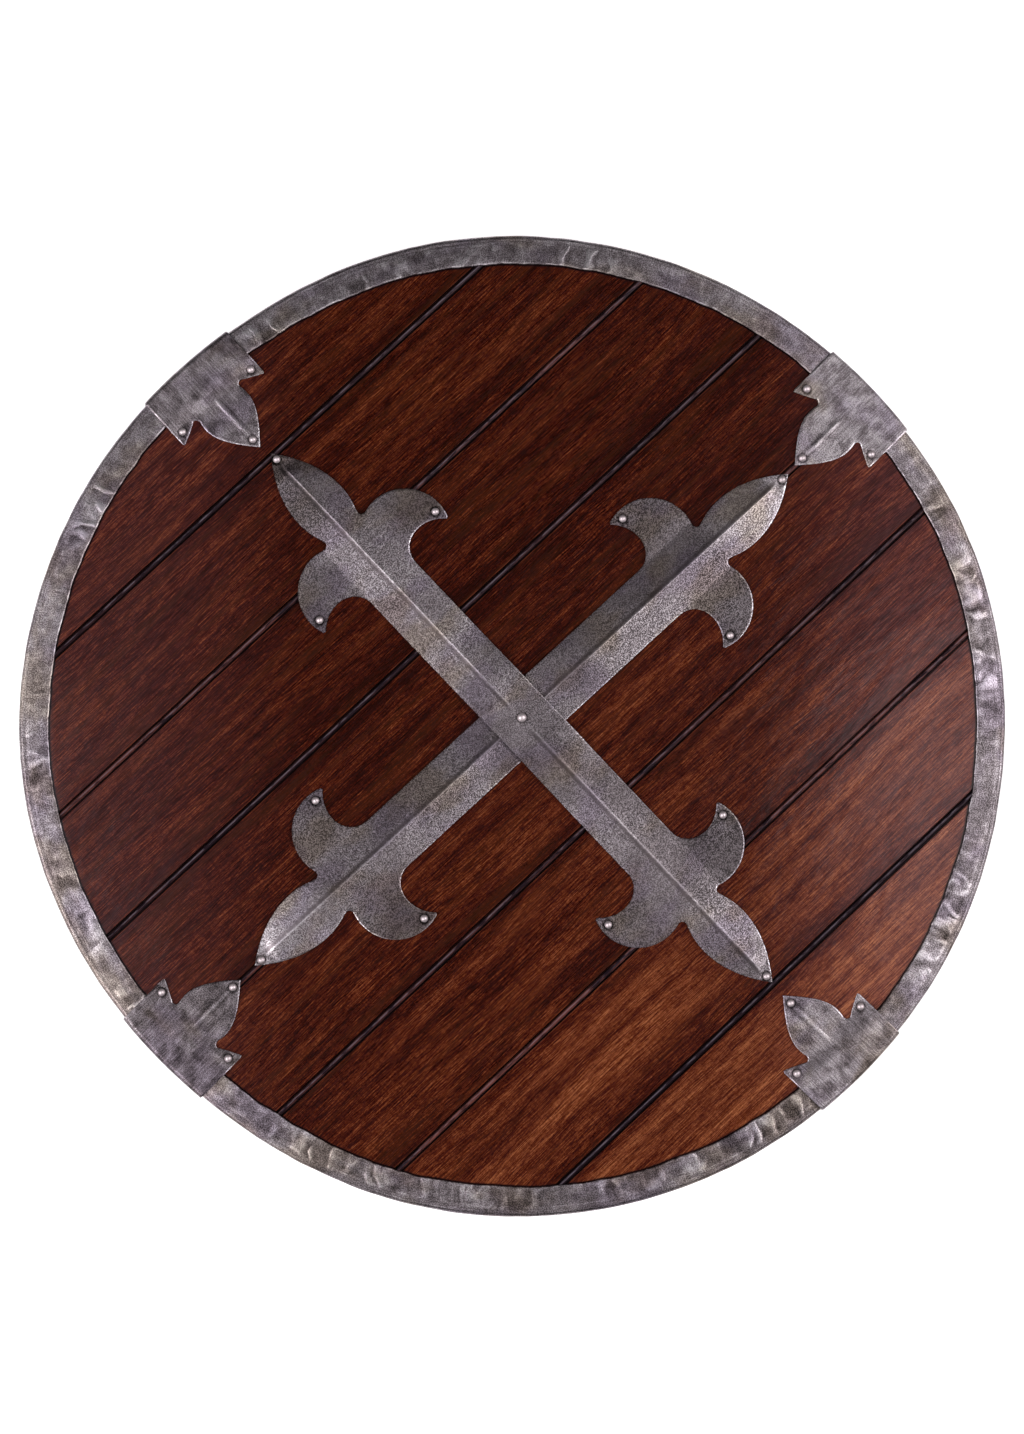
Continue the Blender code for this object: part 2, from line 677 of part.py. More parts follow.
def make_housing_cutter():
    """The straps' housings across the battens."""
    shape = bmesh.new()
    for side in (-1, 1):
        y = side * STRAP_Y
        half = STRAP_WIDTH / 2 + 2 * GAP
        reach = BATTEN_X + BATTEN_WIDTH
        box(shape, (-reach, y - half, -BATTEN_EDGE), (reach, y + half, STRAP_BOTTOM + STRAP_THICKNESS + GAP))
    return add_cutter("strap_housings", mesh_of("strap_housings", shape))


def make_screw_hole_cutter():
    shape = bmesh.new()
    for x, y, z in strap_screw_places():
        length = SCREW_LENGTH + 6 * GAP
        middle = Matrix.Translation((x, y, z + length / 2 - 4 * GAP))
        drill(shape, middle, SCREW_RADIUS + 2 * GAP, length)
    return add_cutter("screw_holes", mesh_of("screw_holes", shape))


def make_battens(material, housings, screw_holes):
    for number, side in enumerate((-1, 1), 1):
        shape = bmesh.new()
        half = (BATTEN_WIDTH / 2, BATTEN_LENGTH / 2)
        box(shape, (-half[0], -half[1], 0), (half[0], half[1], BATTEN_DEPTH))
        name = f"batten_{number}"
        batten = add_object(name, mesh_of(name, shape), material, (side * BATTEN_X, 0, 0))
        eased = batten.modifiers.new("eased_edges", "BEVEL")
        eased.width = BATTEN_EDGE
        eased.segments = 1
        cut(batten, housings)
        cut(batten, screw_holes)


def strap_outline():
    """A strap with half-round ends, laid out flat."""
    half = STRAP_WIDTH / 2
    centre = (STRAP_END_X - half, 0)
    right = Outline((0, -half))
    right.line((centre[0], -half))
    right.arc(centre, half, -90, 90, 2)
    right.line((0, half))
    return closed_outline(right.knots + mirrored(right.knots, -1, 1))


def make_straps(material, screw_holes):
    stations = [side * STRAP_FREE_X * share for side in (-1, 1) for share in (0.5, 1)]
    for name, side in (("grip_strap", 1), ("arm_strap", -1)):
        shape = cut_sheet(name, strap_outline(), STRAP_THICKNESS, (), [*stations, 0])
        for vertex in shape.verts:
            vertex.co.z += STRAP_BOTTOM - STRAP_SAG * (1 - ease(abs(vertex.co.x), 0, STRAP_FREE_X))
        strap = add_object(name, mesh_of(name, shape), material, (0, side * STRAP_Y, 0))
        cut(strap, screw_holes)


def strap_screw_places():
    z = STRAP_BOTTOM - GAP
    return [(x * SCREW_X, y * STRAP_Y, z) for y in (1, -1) for x in (-1, 1)]


def make_screws(material):
    head = SCREW_HEAD_HEIGHT
    profile = [
        (0, SCREW_LENGTH),
        (SCREW_RADIUS, SCREW_LENGTH),
        (SCREW_RADIUS, 0),
        (SCREW_HEAD_RADIUS, 0),
        (SCREW_HEAD_RADIUS * 0.92, -head * 0.6),
        (SCREW_HEAD_RADIUS * 0.6, -head),
        (0, -head),
    ]
    add = turned("screw", profile, NAIL_SIDES)
    for number, place in enumerate(strap_screw_places(), 1):
        add(f"strap_screw_{number}", material, place)


# ---------------------------------------------------------------- the whole shield

clear_scene()
parts = new_collection("wooden_round_shield")
cutters = new_collection("cutters")
shield = bpy.data.objects.new("shield", None)
parts.objects.link(shield)

mahogany = new_material("lacquered_mahogany", (0.10, 0.025, 0.010), 0.35)
batten_wood = new_material("oiled_batten_wood", (0.13, 0.045, 0.020), 0.6)
rim_steel = new_material("hammered_steel", (0.26, 0.25, 0.25), 0.42, 1.0)
bar_steel = new_material("stippled_steel", (0.20, 0.19, 0.19), 0.45, 1.0)
clamp_steel = new_material("ground_steel", (0.24, 0.23, 0.24), 0.4, 1.0)
nail_steel = new_material("polished_nail_steel", (0.62, 0.60, 0.60), 0.22, 1.0)
leather = new_material("brown_leather", (0.09, 0.035, 0.015), 0.6)
screw_steel = new_material("screw_steel", (0.35, 0.34, 0.33), 0.35, 1.0)

nail_holes = make_hole_cutter()
make_planks(mahogany, make_disc_cutter(), nail_holes)
make_rim(rim_steel)
over_lines = [*OVER_RISES, *OVER_DROPS, 33 * MM, 46 * MM]
make_bar("cross_bar_under", bar_steel, nail_holes, UNDER_BAR, under_bar_height, UNDER_RISES)
make_bar("cross_bar_over", bar_steel, nail_holes, OVER_BAR, over_bar_height, over_lines)
make_clamps(clamp_steel, nail_holes)
make_nails(nail_steel)
make_rivets(nail_steel)
strap_housings = make_housing_cutter()
strap_screw_holes = make_screw_hole_cutter()
make_battens(batten_wood, strap_housings, strap_screw_holes)
make_straps(leather, strap_screw_holes)
make_screws(screw_steel)
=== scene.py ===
"""Wooden round shield: the finish of every surface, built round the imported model.

The boards' face looks along +Z, the boards run along X, and everything is in metres.
"""

import math

import bmesh
import bpy
import numpy as np
from mathutils import Matrix, Vector, noise


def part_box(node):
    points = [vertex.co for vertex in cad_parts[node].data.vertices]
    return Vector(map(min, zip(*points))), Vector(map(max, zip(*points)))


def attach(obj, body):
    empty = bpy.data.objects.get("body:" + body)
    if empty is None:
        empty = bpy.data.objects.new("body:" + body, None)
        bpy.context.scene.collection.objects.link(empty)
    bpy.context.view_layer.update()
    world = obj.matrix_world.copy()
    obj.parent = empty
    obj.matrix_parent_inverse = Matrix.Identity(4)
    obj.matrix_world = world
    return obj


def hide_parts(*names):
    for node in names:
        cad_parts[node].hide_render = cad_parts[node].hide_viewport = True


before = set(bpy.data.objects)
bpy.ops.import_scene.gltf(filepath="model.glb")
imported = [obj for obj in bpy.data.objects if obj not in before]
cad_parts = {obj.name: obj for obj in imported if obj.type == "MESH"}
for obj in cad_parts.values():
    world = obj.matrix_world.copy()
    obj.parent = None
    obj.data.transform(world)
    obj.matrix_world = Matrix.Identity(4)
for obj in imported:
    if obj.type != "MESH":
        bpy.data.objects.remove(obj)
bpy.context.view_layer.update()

MM = 0.001
WELD = 0.01 * MM
GAP = 0.3 * MM

# Boards
BOARD_TONES = (0.6, 0.5, 0.34, 0.34, 0.23, 0.26, 0.28, 0.32)  # how light each board took the stain
BEAD_TONES = (0.0, 0.85, 0.4, 0.6, 0.2, 0.6, 0.1, 0.0)
BEAD_HALF_WIDTH = 1.7 * MM
BEAD_HEIGHT = 1.2 * MM
BEAD_STEPS = 10
QUIRK_WIDTH = 0.8 * MM
QUIRK_DEPTH = 1.5 * MM
TONGUE_THICKNESS = 3.4 * MM
TONGUE_LENGTH = 4.0 * MM
BOARD_STEP = 4 * MM  # between the lines of a board's mesh, along and across it
BOARD_CUP = 0.12 * MM
ARRIS = 0.3 * MM
BOARD_WAVES = (70 * MM, 25 * MM, 0.07 * MM)  # long, wide and high
EASED_UNDER_RIM = (17 * MM, 3 * MM, 1.1 * MM)  # from and to where, in from the outside, and how far down
BESIDE = 0.1 * MM  # as good as touching
STAIN_REACH = 11 * MM  # how far the darker stain spreads from a joint

# Rim
RADIUS = 305.5 * MM
SHEET = 1.2 * MM
RIM_FRONT_FLANGE = 18.2 * MM
RIM_BACK_FLANGE = 15 * MM
RIM_BEND = 2.5 * MM
RIM_START = 180.4  # degrees; the strip's ends meet under a clamp
# How much lighter the rim is painted, every 30 degrees round it, as painted light and shade
RIM_PAINTED_LIGHT = (0.06, 0.05, 0.0, 0.08, 0.08, 0.0, 0.04, -0.1, -0.05, -0.08, -0.1, 0.0, 0.06)
RIM_STEPS = 1200
RIM_STEP = 0.9 * MM
RIM_HIDDEN_STEP = 3 * MM  # on the side towards the boards
RIM_ARRIS = 0.35 * MM
BOARD_CLEARANCE = 2.2 * MM
BOARD_INSET = 8.2 * MM  # of the outer two boards' long edges from the rim's outside
# Where the rim isn't round: angle, how far out it goes there, and how many degrees it takes
RIM_FLATS = (
    (84, -3.5 * MM, 14),
    (188, -3.6 * MM, 15),
    (272, -0.9 * MM, 10),
    (139, 2.6 * MM, 14),
    (336, 1.8 * MM, 12),
)
# Dents of the flange in mm: depth, length and width, and seed. The second kind comes and goes
RIM_DENTS = ((0.22, 34, 30, 1.5), (0.12, 7.5, 26, 4.2), (0.07, 3.6, 9, 8.1))
DENT_STRETCH = 55
# Waves of the inner edge and of the outside in mm: depth, length, width and seed
RIM_WAVES = ((0.7, 16, 1, 20.4), (0.3, 5.5, 1, 23.4))
OUTSIDE_WAVES = ((0.28, 12, 14, 31.7),)
FLANGE_STARTS = (3 * MM, 12 * MM)
RIM_FOLD = (0.08, 3.6, 1.1)  # in mm: how deep a groove runs beside the bend, where, and how wide
RIM_SLOPE = 0.9  # in mm: how far the flange falls towards the outside

# Bars: distances along a bar from its middle, and across it from its ridge
BAR_SHEET = 1.3 * MM
BAR_HALF_WIDTH = 18.75 * MM
BAR_HALF_LENGTH = 226.1 * MM
RIDGE_HEIGHT = 3.0 * MM
LEAF_NECK = 158 * MM
LEAF_START = 182 * MM
LEAF_HALF_WIDTH = 17.6 * MM
TIP_FLATTENS = (208 * MM, 217.5 * MM)
CROSSING = 30 * MM  # how far the bars' middles are brushed alike
HOOK_CENTRE = (132.4 * MM, 26.2 * MM)
HOOK_RADIUS = 28.6 * MM
HOOK_TIP = (122.0 * MM, 51.8 * MM)
FLANK_DEPTH = 0.17 * MM
FLANK_REACH = 2 * MM
RIDGE_SHOWS = 0.04 * MM  # how high the ridge has to stand before it is rubbed and carries its painted highlight and shade strip
# Pits of the bars in mm: depth, length, width and seed
BAR_PITS = ((0.05, 1.3, 1.3, 2.0), (0.03, 0.6, 0.6, 5.0), (0.10, 17, 17, 9.0))
BAR_SUNK = 0.13 * MM  # keeps the pitted face within the plate's thickness
NAIL_DIMPLE = 0.2 * MM
SIDE_FADE = 2 * MM  # how far from the ridge one side's look takes to change to the other's
HOOKS_DARKER = 0.08
BAR_TIP_NAIL = 221 * MM
BAR_HOOK_NAIL = (130 * MM, 49.5 * MM)
UNDER_BAR = (4.4 * MM, -0.4 * MM, -0.3)  # middle and heading
OVER_BAR = (3.3 * MM, 0.5 * MM, 90.5)
# How much lighter each leaf and each half of the shaft are made, then how much lighter one side of the
# ridge is painted than the other, as painted light and shade on the roof's two slopes
UNDER_TONE_AND_SIDE_SHADE = ((0.19, 0.0, 0.0, 0.15), (0.05, 0.0, 0.0, 0.0))
OVER_TONE_AND_SIDE_SHADE = ((0.0, -0.03, 0.06, -0.1), (0.0, 0.05, 0.0, -0.11))
UNDER_FLAT = 0.3
UNDER_RISES = (19 * MM, 60 * MM)
OVER_LIFT = 2.5 * MM
OVER_RISES = (2 * MM, 55 * MM)
OVER_DROPS = (19 * MM, 60 * MM)

# Clamps: distances inwards from a clamp's outer edge, and across it from its middle
CLAMP_LENGTH = 69.8 * MM
CLAMP_HALF_WIDTH = 34 * MM
CLAMP_BEND = 3.0 * MM
CLAMP_BACK_LENGTH = 36 * MM
CLAMP_TAB_RIVET = (30.3 * MM, 28.8 * MM)
CLAMP_TIP_NAIL = 63.2 * MM
FRONT_JOGGLE = (18.6 * MM, 32 * MM)
BACK_JOGGLE = (17.5 * MM, 23.5 * MM)
FOLLOWS_RIM = (21 * MM, 36 * MM)
CREASE_HEIGHT = 0.6 * MM
CREASE_HALF_WIDTH = 5 * MM
CREASE_RISES = (26.5 * MM, 34 * MM)
CREASE_ENDS = (52 * MM, 59.5 * MM)
CREASE_RUBBED = 0.8 * MM
BLACKING = (2.2 * MM, 0.9 * MM)  # left beside the crease: how far off, and how wide
CREASE_SHOWS = (24 * MM, 30 * MM, 56 * MM, 60 * MM)  # where its rubbing and painted highlight start, are full, fade and end
BEND_SHADE = 2.2 * MM  # how far from its middle the bend is darker
# How the clamps' face wanders in mm: depth, length, width and seed
CLAMP_UNEVEN = ((0.10, 13, 13, 5.1), (0.03, 1.6, 7, 2.3))
CLAMP_SUNK = 0.11 * MM
CLAMPS = ((0.3, 1.4), (90.2, -0.2), (180.4, 1.8), (271.5, 1.4))  # where round the rim, and how askew
# how much lighter each clamp is made
CLAMP_LIGHTNESS = (0.22, 0.10, 0.0, 0.12)

# Nails
NAIL_HEAD_RADIUS = 2.35 * MM
CENTRE_HEAD_RADIUS = 2.85 * MM
NAIL_HEAD_HEIGHT = 1.8 * MM
NAIL_RADIUS = 1.4 * MM
NAIL_DEPTH = 9 * MM
NAIL_POINT = 2 * MM
NAIL_RING = (2.6 * MM, 4.2 * MM)  # where the dark ring round a nail fades
NAIL_TURN = 2.4  # radians from each nail to the next, so that no two lie alike
NAIL_TILT = math.radians(2.5)
RIVET_TAIL = (2.4 * MM, 1.1 * MM)
NAIL_SIDES = 24

# Back: straps in housings across the battens
CLEAR_OF_FLOOR = 0.02 * MM
STRAP_WIDTH = 38 * MM
STRAP_THICKNESS = 3.5 * MM
STRAP_Y = 105 * MM
STRAP_END_X = 112 * MM
STRAP_FREE_X = 70 * MM
STRAP_BOTTOM = 1.7 * MM
STRAP_SAG = 1.3 * MM
STRAP_FREED = 10 * MM  # how far off the battens it wanders freely
STRAP_UNEVEN = (0.1 * MM, 30 * MM, 20 * MM, 9.0)  # depth, length, width and seed
STRAP_ROUNDED = 0.4 * MM
STRAP_GRIPPED = (20 * MM, 65 * MM)  # how far out hands darkened it fully, and how far at all
SCREW_HEAD_RADIUS = 4.5 * MM
SCREW_HEAD_HEIGHT = 1.2 * MM
SCREW_RADIUS = 2.0 * MM
SCREW_LENGTH = 16 * MM
SCREW_POINT = 3 * MM
SCREW_SLOT = (0.5 * MM, 0.5 * MM)  # half its width, and how much of the head it leaves
SCREW_X = 102 * MM
SCREW_DIMPLE = (4 * MM, 0.15 * MM)  # how far it reaches past the head, and how deep
SCREW_CUTTER = (6 * MM, 3 * MM)  # long enough and tall enough to cut the slot
BATTEN_BEVEL = 1.6 * MM

# The cut edges are filed round: how far in each ring of points lies, and its share of the rounding
FILED_RINGS = ((0.4 * MM, 0.4), (0.35 * MM, 0.0))
FILED_DROP = 0.2 * MM
PLATE_SQUARE = 3 * MM
CURVE_STEPS = 12

BOARD_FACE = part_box("plank_4")[1].z
BOARD_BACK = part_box("plank_4")[0].z


# ---------------------------------------------------------------- working on a mesh

def make_active(piece):
    bpy.ops.object.select_all(action="DESELECT")
    piece.select_set(True)
    bpy.context.view_layer.objects.active = piece


def edit(piece):
    make_active(piece)
    bpy.ops.object.mode_set(mode="EDIT")
    bpy.ops.mesh.select_mode(type="FACE")
    bpy.ops.mesh.select_all(action="SELECT")


def leave_edit():
    bpy.ops.object.mode_set(mode="OBJECT")


def face_outwards(piece):
    """Merges points that lie on each other, and turns every face outwards."""
    edit(piece)
    bpy.ops.mesh.remove_doubles(threshold=WELD)
    bpy.ops.mesh.normals_make_consistent(inside=False)
    leave_edit()


def pick(piece, kind, test):
    """In edit mode, selects only the faces or edges whose middle passes the test."""
    bpy.ops.mesh.select_mode(type=kind)
    bpy.ops.mesh.select_all(action="DESELECT")
    shape = bmesh.from_edit_mesh(piece.data)
    for item in shape.faces if kind == "FACE" else shape.edges:
        middle = sum((vertex.co for vertex in item.verts), Vector()) / len(item.verts)
        if test(middle, item):
            item.select_set(True)
    bmesh.update_edit_mesh(piece.data)


def apply_modifier(piece, kind, **settings):
    make_active(piece)
    modifier = piece.modifiers.new(kind.lower(), kind)
    for name, value in settings.items():
        setattr(modifier, name, value)
    bpy.ops.object.modifier_apply(modifier=modifier.name)


def add_object(name, data):
    piece = bpy.data.objects.new(name, data)
    bpy.context.scene.collection.objects.link(piece)
    return piece


def mesh_of(name, curve):
    piece = add_object(name, curve)
    make_active(piece)
    bpy.ops.object.convert(target="MESH")
    return piece


def trace(name, points, closed):
    """The points joined by edges."""
    curve = bpy.data.curves.new(name, "CURVE")
    curve.dimensions = "3D"
    spline = curve.splines.new("POLY")
    spline.points.add(len(points) - 1)
    spline.use_cyclic_u = closed
    for knot, point in zip(spline.points, points):
        knot.co = (*point, 1)
    return mesh_of(name, curve)


def turn_round(piece, steps):
    """Makes a solid from a traced section, turned all the way round Z."""
    apply_modifier(piece, "SCREW", axis="Z", angle=math.tau, steps=steps, render_steps=steps,
                   use_merge_vertices=True, merge_threshold=WELD)
    face_outwards(piece)


def moved_copy(source, name, matrix):
    piece = add_object(name, source.data.copy())
    piece.data.transform(matrix)
    return piece


def give(piece, **named):
    """Gives each point of the mesh a number, or three, under each name. One number is given to all."""
    for name, values in named.items():
        values = np.array(values, np.float32)
        if values.ndim == 0:
            values = np.full(len(piece.data.vertices), values)
        kind, field = ("FLOAT", "value") if values.ndim == 1 else ("FLOAT_VECTOR", "vector")
        attribute = piece.data.attributes.new(name, kind, "POINT")
        attribute.data.foreach_set(field, values.ravel())


def taken(piece, name):
    """The numbers that the points were given under a name."""
    values = np.empty(len(piece.data.vertices), np.float32)
    piece.data.attributes[name].data.foreach_get("value", values)
    return values.astype(float)


def points_of(piece):
    places = np.empty(len(piece.data.vertices) * 3, np.float32)
    piece.data.vertices.foreach_get("co", places)
    return places.reshape(-1, 3).astype(float)


def put_points(piece, places):
    piece.data.vertices.foreach_set("co", np.array(places, np.float32).ravel())
    piece.data.update()


def hand_in(piece, material, node, sharp=35):
    """Gives the piece its finish, and lets it stand for its solid."""
    piece.data.materials.clear()
    piece.data.materials.append(material)
    make_active(piece)
    bpy.ops.object.shade_smooth_by_angle(angle=math.radians(sharp))
    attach(piece, "root")
    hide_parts(node)


def ease(value, start, end):
    """0 at start, 1 at end, level at both."""
    share = np.clip((value - start) / (end - start), 0, 1)
    return share * share * (3 - 2 * share)


def wander(along, across, seed):
    """Smooth noise between about -1 and 1. It changes over about 1 in each direction."""
    return noise.noise(Vector((along, across, seed)))


def waves(along, across, kinds):
    """Waves of several kinds laid over each other. A kind is its depth, length, width and seed."""
    return sum(depth * wander(along / length, across / width, seed)
               for depth, length, width, seed in kinds)


def spaced(start, end, step):
    """Numbers from start up to end, evenly spaced by about the step."""
    count = max(1, round(abs(end - start) / step))
    return [start + (end - start) * number / count for number in range(count + 1)]


# ---------------------------------------------------------------- plates cut to an outline

class Outline:
    """A path of straight and curved stretches, as Bezier knots: (handle, point, handle)."""

    def __init__(self, start):
        self.knots = [[start, start, start]]

    def line(self, end):
        self.knots.append([end, end, end])

    def curve(self, leaving, arriving, end):
        self.knots[-1][2] = leaving
        self.knots.append([arriving, end, end])

    def arc(self, centre, radius, start, end, spans):
        step = math.radians(end - start) / spans
        reach = radius * 4 / 3 * math.tan(step / 4)
        for span in range(spans):
            first = math.radians(start) + span * step
            last = first + step
            leaving = around(centre, radius, first, reach)
            arriving = around(centre, radius, last, -reach)
            self.curve(leaving, arriving, around(centre, radius, last, 0))


def around(centre, radius, angle, ahead):
    """The point at an angle round a centre, moved ahead along the circle's tangent."""
    across = (math.cos(angle), math.sin(angle))
    return (centre[0] + radius * across[0] - ahead * across[1],
            centre[1] + radius * across[1] + ahead * across[0])


def mirrored(knots, flip_x, flip_y):
    """The knots reflected, in the order that carries on from their last one."""
    def flip(point):
        return (point[0] * flip_x, point[1] * flip_y)
    return [[flip(after), flip(point), flip(before)] for before, point, after in reversed(knots)]


def closed_outline(knots):
    """Joins knots that follow each other round, where a shared point comes twice."""
    joined = []
    for before, point, after in knots:
        if joined and (Vector(joined[-1][1]) - Vector(point)).length < WELD:
            joined[-1][2] = after
        else:
            joined.append([before, point, after])
    if (Vector(joined[0][1]) - Vector(joined[-1][1])).length < WELD:
        joined[0][0] = joined.pop()[0]
    return joined


def cut_plate(name, knots, square, cuts):
    """A flat plate with a narrow strip round its edge, ruled into squares and divided finer."""
    curve = bpy.data.curves.new(name, "CURVE")
    curve.dimensions = "2D"
    curve.fill_mode = "BOTH"
    curve.resolution_u = CURVE_STEPS
    spline = curve.splines.new("BEZIER")
    spline.bezier_points.add(len(knots) - 1)
    spline.use_cyclic_u = True
    for knot, (before, point, after) in zip(spline.bezier_points, knots):
        knot.handle_left_type = "VECTOR" if before == point else "FREE"
        knot.handle_right_type = "VECTOR" if after == point else "FREE"
        knot.co = (*point, 0)
        knot.handle_left = (*before, 0)
        knot.handle_right = (*after, 0)
    plate = mesh_of(name, curve)
    edit(plate)
    bpy.ops.mesh.remove_doubles(threshold=WELD)
    bpy.ops.mesh.dissolve_limited(angle_limit=math.radians(0.3))
    bpy.ops.mesh.normals_make_consistent(inside=False)
    mark_filed(plate, 1.0)
    for thickness, share in FILED_RINGS:
        bpy.ops.mesh.inset(thickness=thickness)
        mark_filed(plate, share)
    bpy.ops.mesh.select_all(action="SELECT")
    rule_squares(plate, square)
    bpy.ops.mesh.quads_convert_to_tris()
    bpy.ops.mesh.subdivide(number_cuts=cuts)
    leave_edit()
    return plate


def edge_wear(filed):
    """1 on a plate's filed edge, and 0 on its face."""
    return np.clip(filed / FILED_RINGS[0][1], 0, 1)


def mark_filed(plate, share):
    """In edit mode, notes what share of the edge's rounding the selected points take."""
    shape = bmesh.from_edit_mesh(plate.data)
    layers = shape.verts.layers.float
    filed = layers.get("filed") or layers.new("filed")
    for vertex in shape.verts:
        if vertex.select:
            vertex[filed] = share
    bmesh.update_edit_mesh(plate.data)


def rule_squares(plate, square):
    """In edit mode, cuts the plate along lines through its middle and every square's width from there."""
    shape = bmesh.from_edit_mesh(plate.data)
    for axis in (0, 1):
        normal = Vector([axis == 0, axis == 1, 0])
        places = [vertex.co[axis] for vertex in shape.verts]
        first = math.ceil(min(places) / square)
        last = math.floor(max(places) / square)
        for number in range(first, last + 1):
            everything = shape.verts[:] + shape.edges[:] + shape.faces[:]
            bmesh.ops.bisect_plane(shape, geom=everything, dist=WELD, plane_co=normal * number * square,
                                   plane_no=normal)
    bmesh.update_edit_mesh(plate.data)
    bpy.ops.mesh.select_all(action="SELECT")


# ---------------------------------------------------------------- boards

def rim_radius(angle):
    """The rim's outer radius at an angle in degrees, with its hammered flats and bulges."""
    radius = RADIUS
    for centre, depth, spread in RIM_FLATS:
        away = (angle - centre + 180) % 360 - 180
        radius += depth * math.exp(-0.5 * (away / spread) ** 2)
    return radius


def board_section(low, high, first, last):
    """A board's section as (y, z) points round it, finely stepped over the bead and the face."""
    side = BEAD_HALF_WIDTH
    floor = BOARD_FACE - QUIRK_DEPTH
    middle = (BOARD_FACE + BOARD_BACK) / 2
    tongue = TONGUE_THICKNESS / 2
    groove = tongue + GAP
    points = []
    face_low, face_high = low, high
    if first:
        points.append((low, BOARD_BACK))
    else:
        face_low = low + side + QUIRK_WIDTH
        edge = low + side + GAP
        points += [(edge, BOARD_BACK), (edge, middle - tongue), (edge - TONGUE_LENGTH, middle - tongue),
                   (edge - TONGUE_LENGTH, middle + tongue), (edge, middle + tongue), (edge, floor),
                   (face_low, floor), (face_low, BOARD_FACE - ARRIS)]
    if not last:
        face_high = high - side - QUIRK_WIDTH
    across = [face_low + ARRIS] + spaced(face_low + 3 * ARRIS, face_high - 3 * ARRIS, BOARD_STEP)
    across.append(face_high - ARRIS)
    points += [(y, BOARD_FACE) for y in across]
    if last:
        points.append((high, BOARD_BACK))
    else:
        points += [(face_high, BOARD_FACE - ARRIS), (face_high, floor)]
        radius = (side ** 2 + BEAD_HEIGHT ** 2) / (2 * BEAD_HEIGHT)
        opening = math.asin(side / radius)
        for number in range(BEAD_STEPS + 1):
            angle = opening * (2 * number / BEAD_STEPS - 1)
            drop = radius * (1 - math.cos(angle))
            points.append((high + radius * math.sin(angle), floor + BEAD_HEIGHT - drop))
        bottom = high + side - TONGUE_LENGTH - GAP
        points += [(high + side, middle + groove), (bottom, middle + groove), (bottom, middle - groove),
                   (high + side, middle - groove), (high + side, BOARD_BACK)]
    return points


def board_end(y, side):
    """X of the boards' edge, where a line along the boards meets it."""
    x = side * math.sqrt(RADIUS ** 2 - y ** 2)
    radius = rim_radius(math.degrees(math.atan2(y, x))) - BOARD_CLEARANCE
    return side * math.sqrt(max(radius ** 2 - y ** 2, 0))


def from_rim(x, y):
    """How far a spot on the boards' face is from the rim's inner edge."""
    outwards = math.hypot(x, y)
    if outwards < RADIUS - 2 * RIM_FRONT_FLANGE:
        return RIM_FRONT_FLANGE
    angle = math.degrees(math.atan2(y, x))
    along = math.radians((angle - RIM_START) % 360) * RADIUS
    return rim_radius(angle) - RIM_FRONT_FLANGE - dent(along, RIM_FRONT_FLANGE, BOARD_FACE)[0] - outwards


def make_board(number, joints, material):
    first = number == 1
    last = number == len(BOARD_TONES)
    low = BOARD_INSET - RADIUS if first else joints[number - 2]
    high = RADIUS - BOARD_INSET if last else joints[number - 1]
    section = board_section(low, high, first, last)
    board = trace(f"board_{number}", [(-0.5, y, z) for y, z in section], True)
    steps = round(2 * RADIUS / BOARD_STEP)
    apply_modifier(board, "SCREW", axis="X", angle=0, screw_offset=1, steps=steps, render_steps=steps,
                   use_merge_vertices=False)
    edit(board)
    pick(board, "EDGE", lambda middle, edge: edge.is_boundary)
    bpy.ops.mesh.edge_face_add()
    leave_edit()
    face_outwards(board)

    places = points_of(board)
    for place in places:
        ends = [board_end(place[1], side) for side in (-1, 1)]
        place[0] = ends[0] + (ends[1] - ends[0]) * (place[0] + 0.5)
    middle, half = (low + high) / 2, (high - low) / 2
    ys, heights = places[:, 1], places[:, 2]
    is_face = heights > BOARD_FACE - QUIRK_DEPTH - BESIDE
    cup = BOARD_CUP * ((ys - middle) / half) ** 2 * (number % 2 * 2 - 1)
    length, width, height = BOARD_WAVES
    swells = [waves(x, y, [(height, length, width, number * 3.7)]) for x, y, _ in places]
    start, end, drop = EASED_UNDER_RIM
    eased = drop * ease(np.hypot(places[:, 0], ys), RADIUS - start, RADIUS - end)
    heights += is_face * (np.array(swells) - cup - eased)
    put_points(board, places)

    beyond = np.min([abs(ys - joint) for joint in joints], axis=0) - BEAD_HALF_WIDTH
    side_reach = np.where((ys > middle) & (not last), STAIN_REACH / 2, STAIN_REACH)
    stain = np.exp(-(np.clip(beyond - QUIRK_WIDTH, 0, 1) / side_reach) ** 2)
    sunk = heights < BOARD_FACE - QUIRK_DEPTH + 4 * BESIDE
    give(board, stain=np.where(is_face, stain, 0.5),
         from_rim=[from_rim(place[0], place[1]) if face else RIM_FRONT_FLANGE
                   for place, face in zip(places, is_face)],
         bead=np.clip(-beyond / BEAD_HALF_WIDTH, 0, 1) * is_face,
         bead_side=(ys - high) / BEAD_HALF_WIDTH,
         joint=((beyond < BESIDE) | sunk) * is_face,
         arris=(beyond > BESIDE) * (beyond < QUIRK_WIDTH + 1.5 * ARRIS) * is_face,
         tone=BOARD_TONES[number - 1], bead_tone=BEAD_TONES[number - 1], board=number)
    hand_in(board, material, f"plank_{number}")


def make_boards(material):
    numbers = range(1, len(BOARD_TONES) + 1)
    joints = [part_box(f"plank_{number}")[1].y - BEAD_HALF_WIDTH for number in numbers[:-1]]
    for number in numbers:
        make_board(number, joints, material)


# ---------------------------------------------------------------- rim

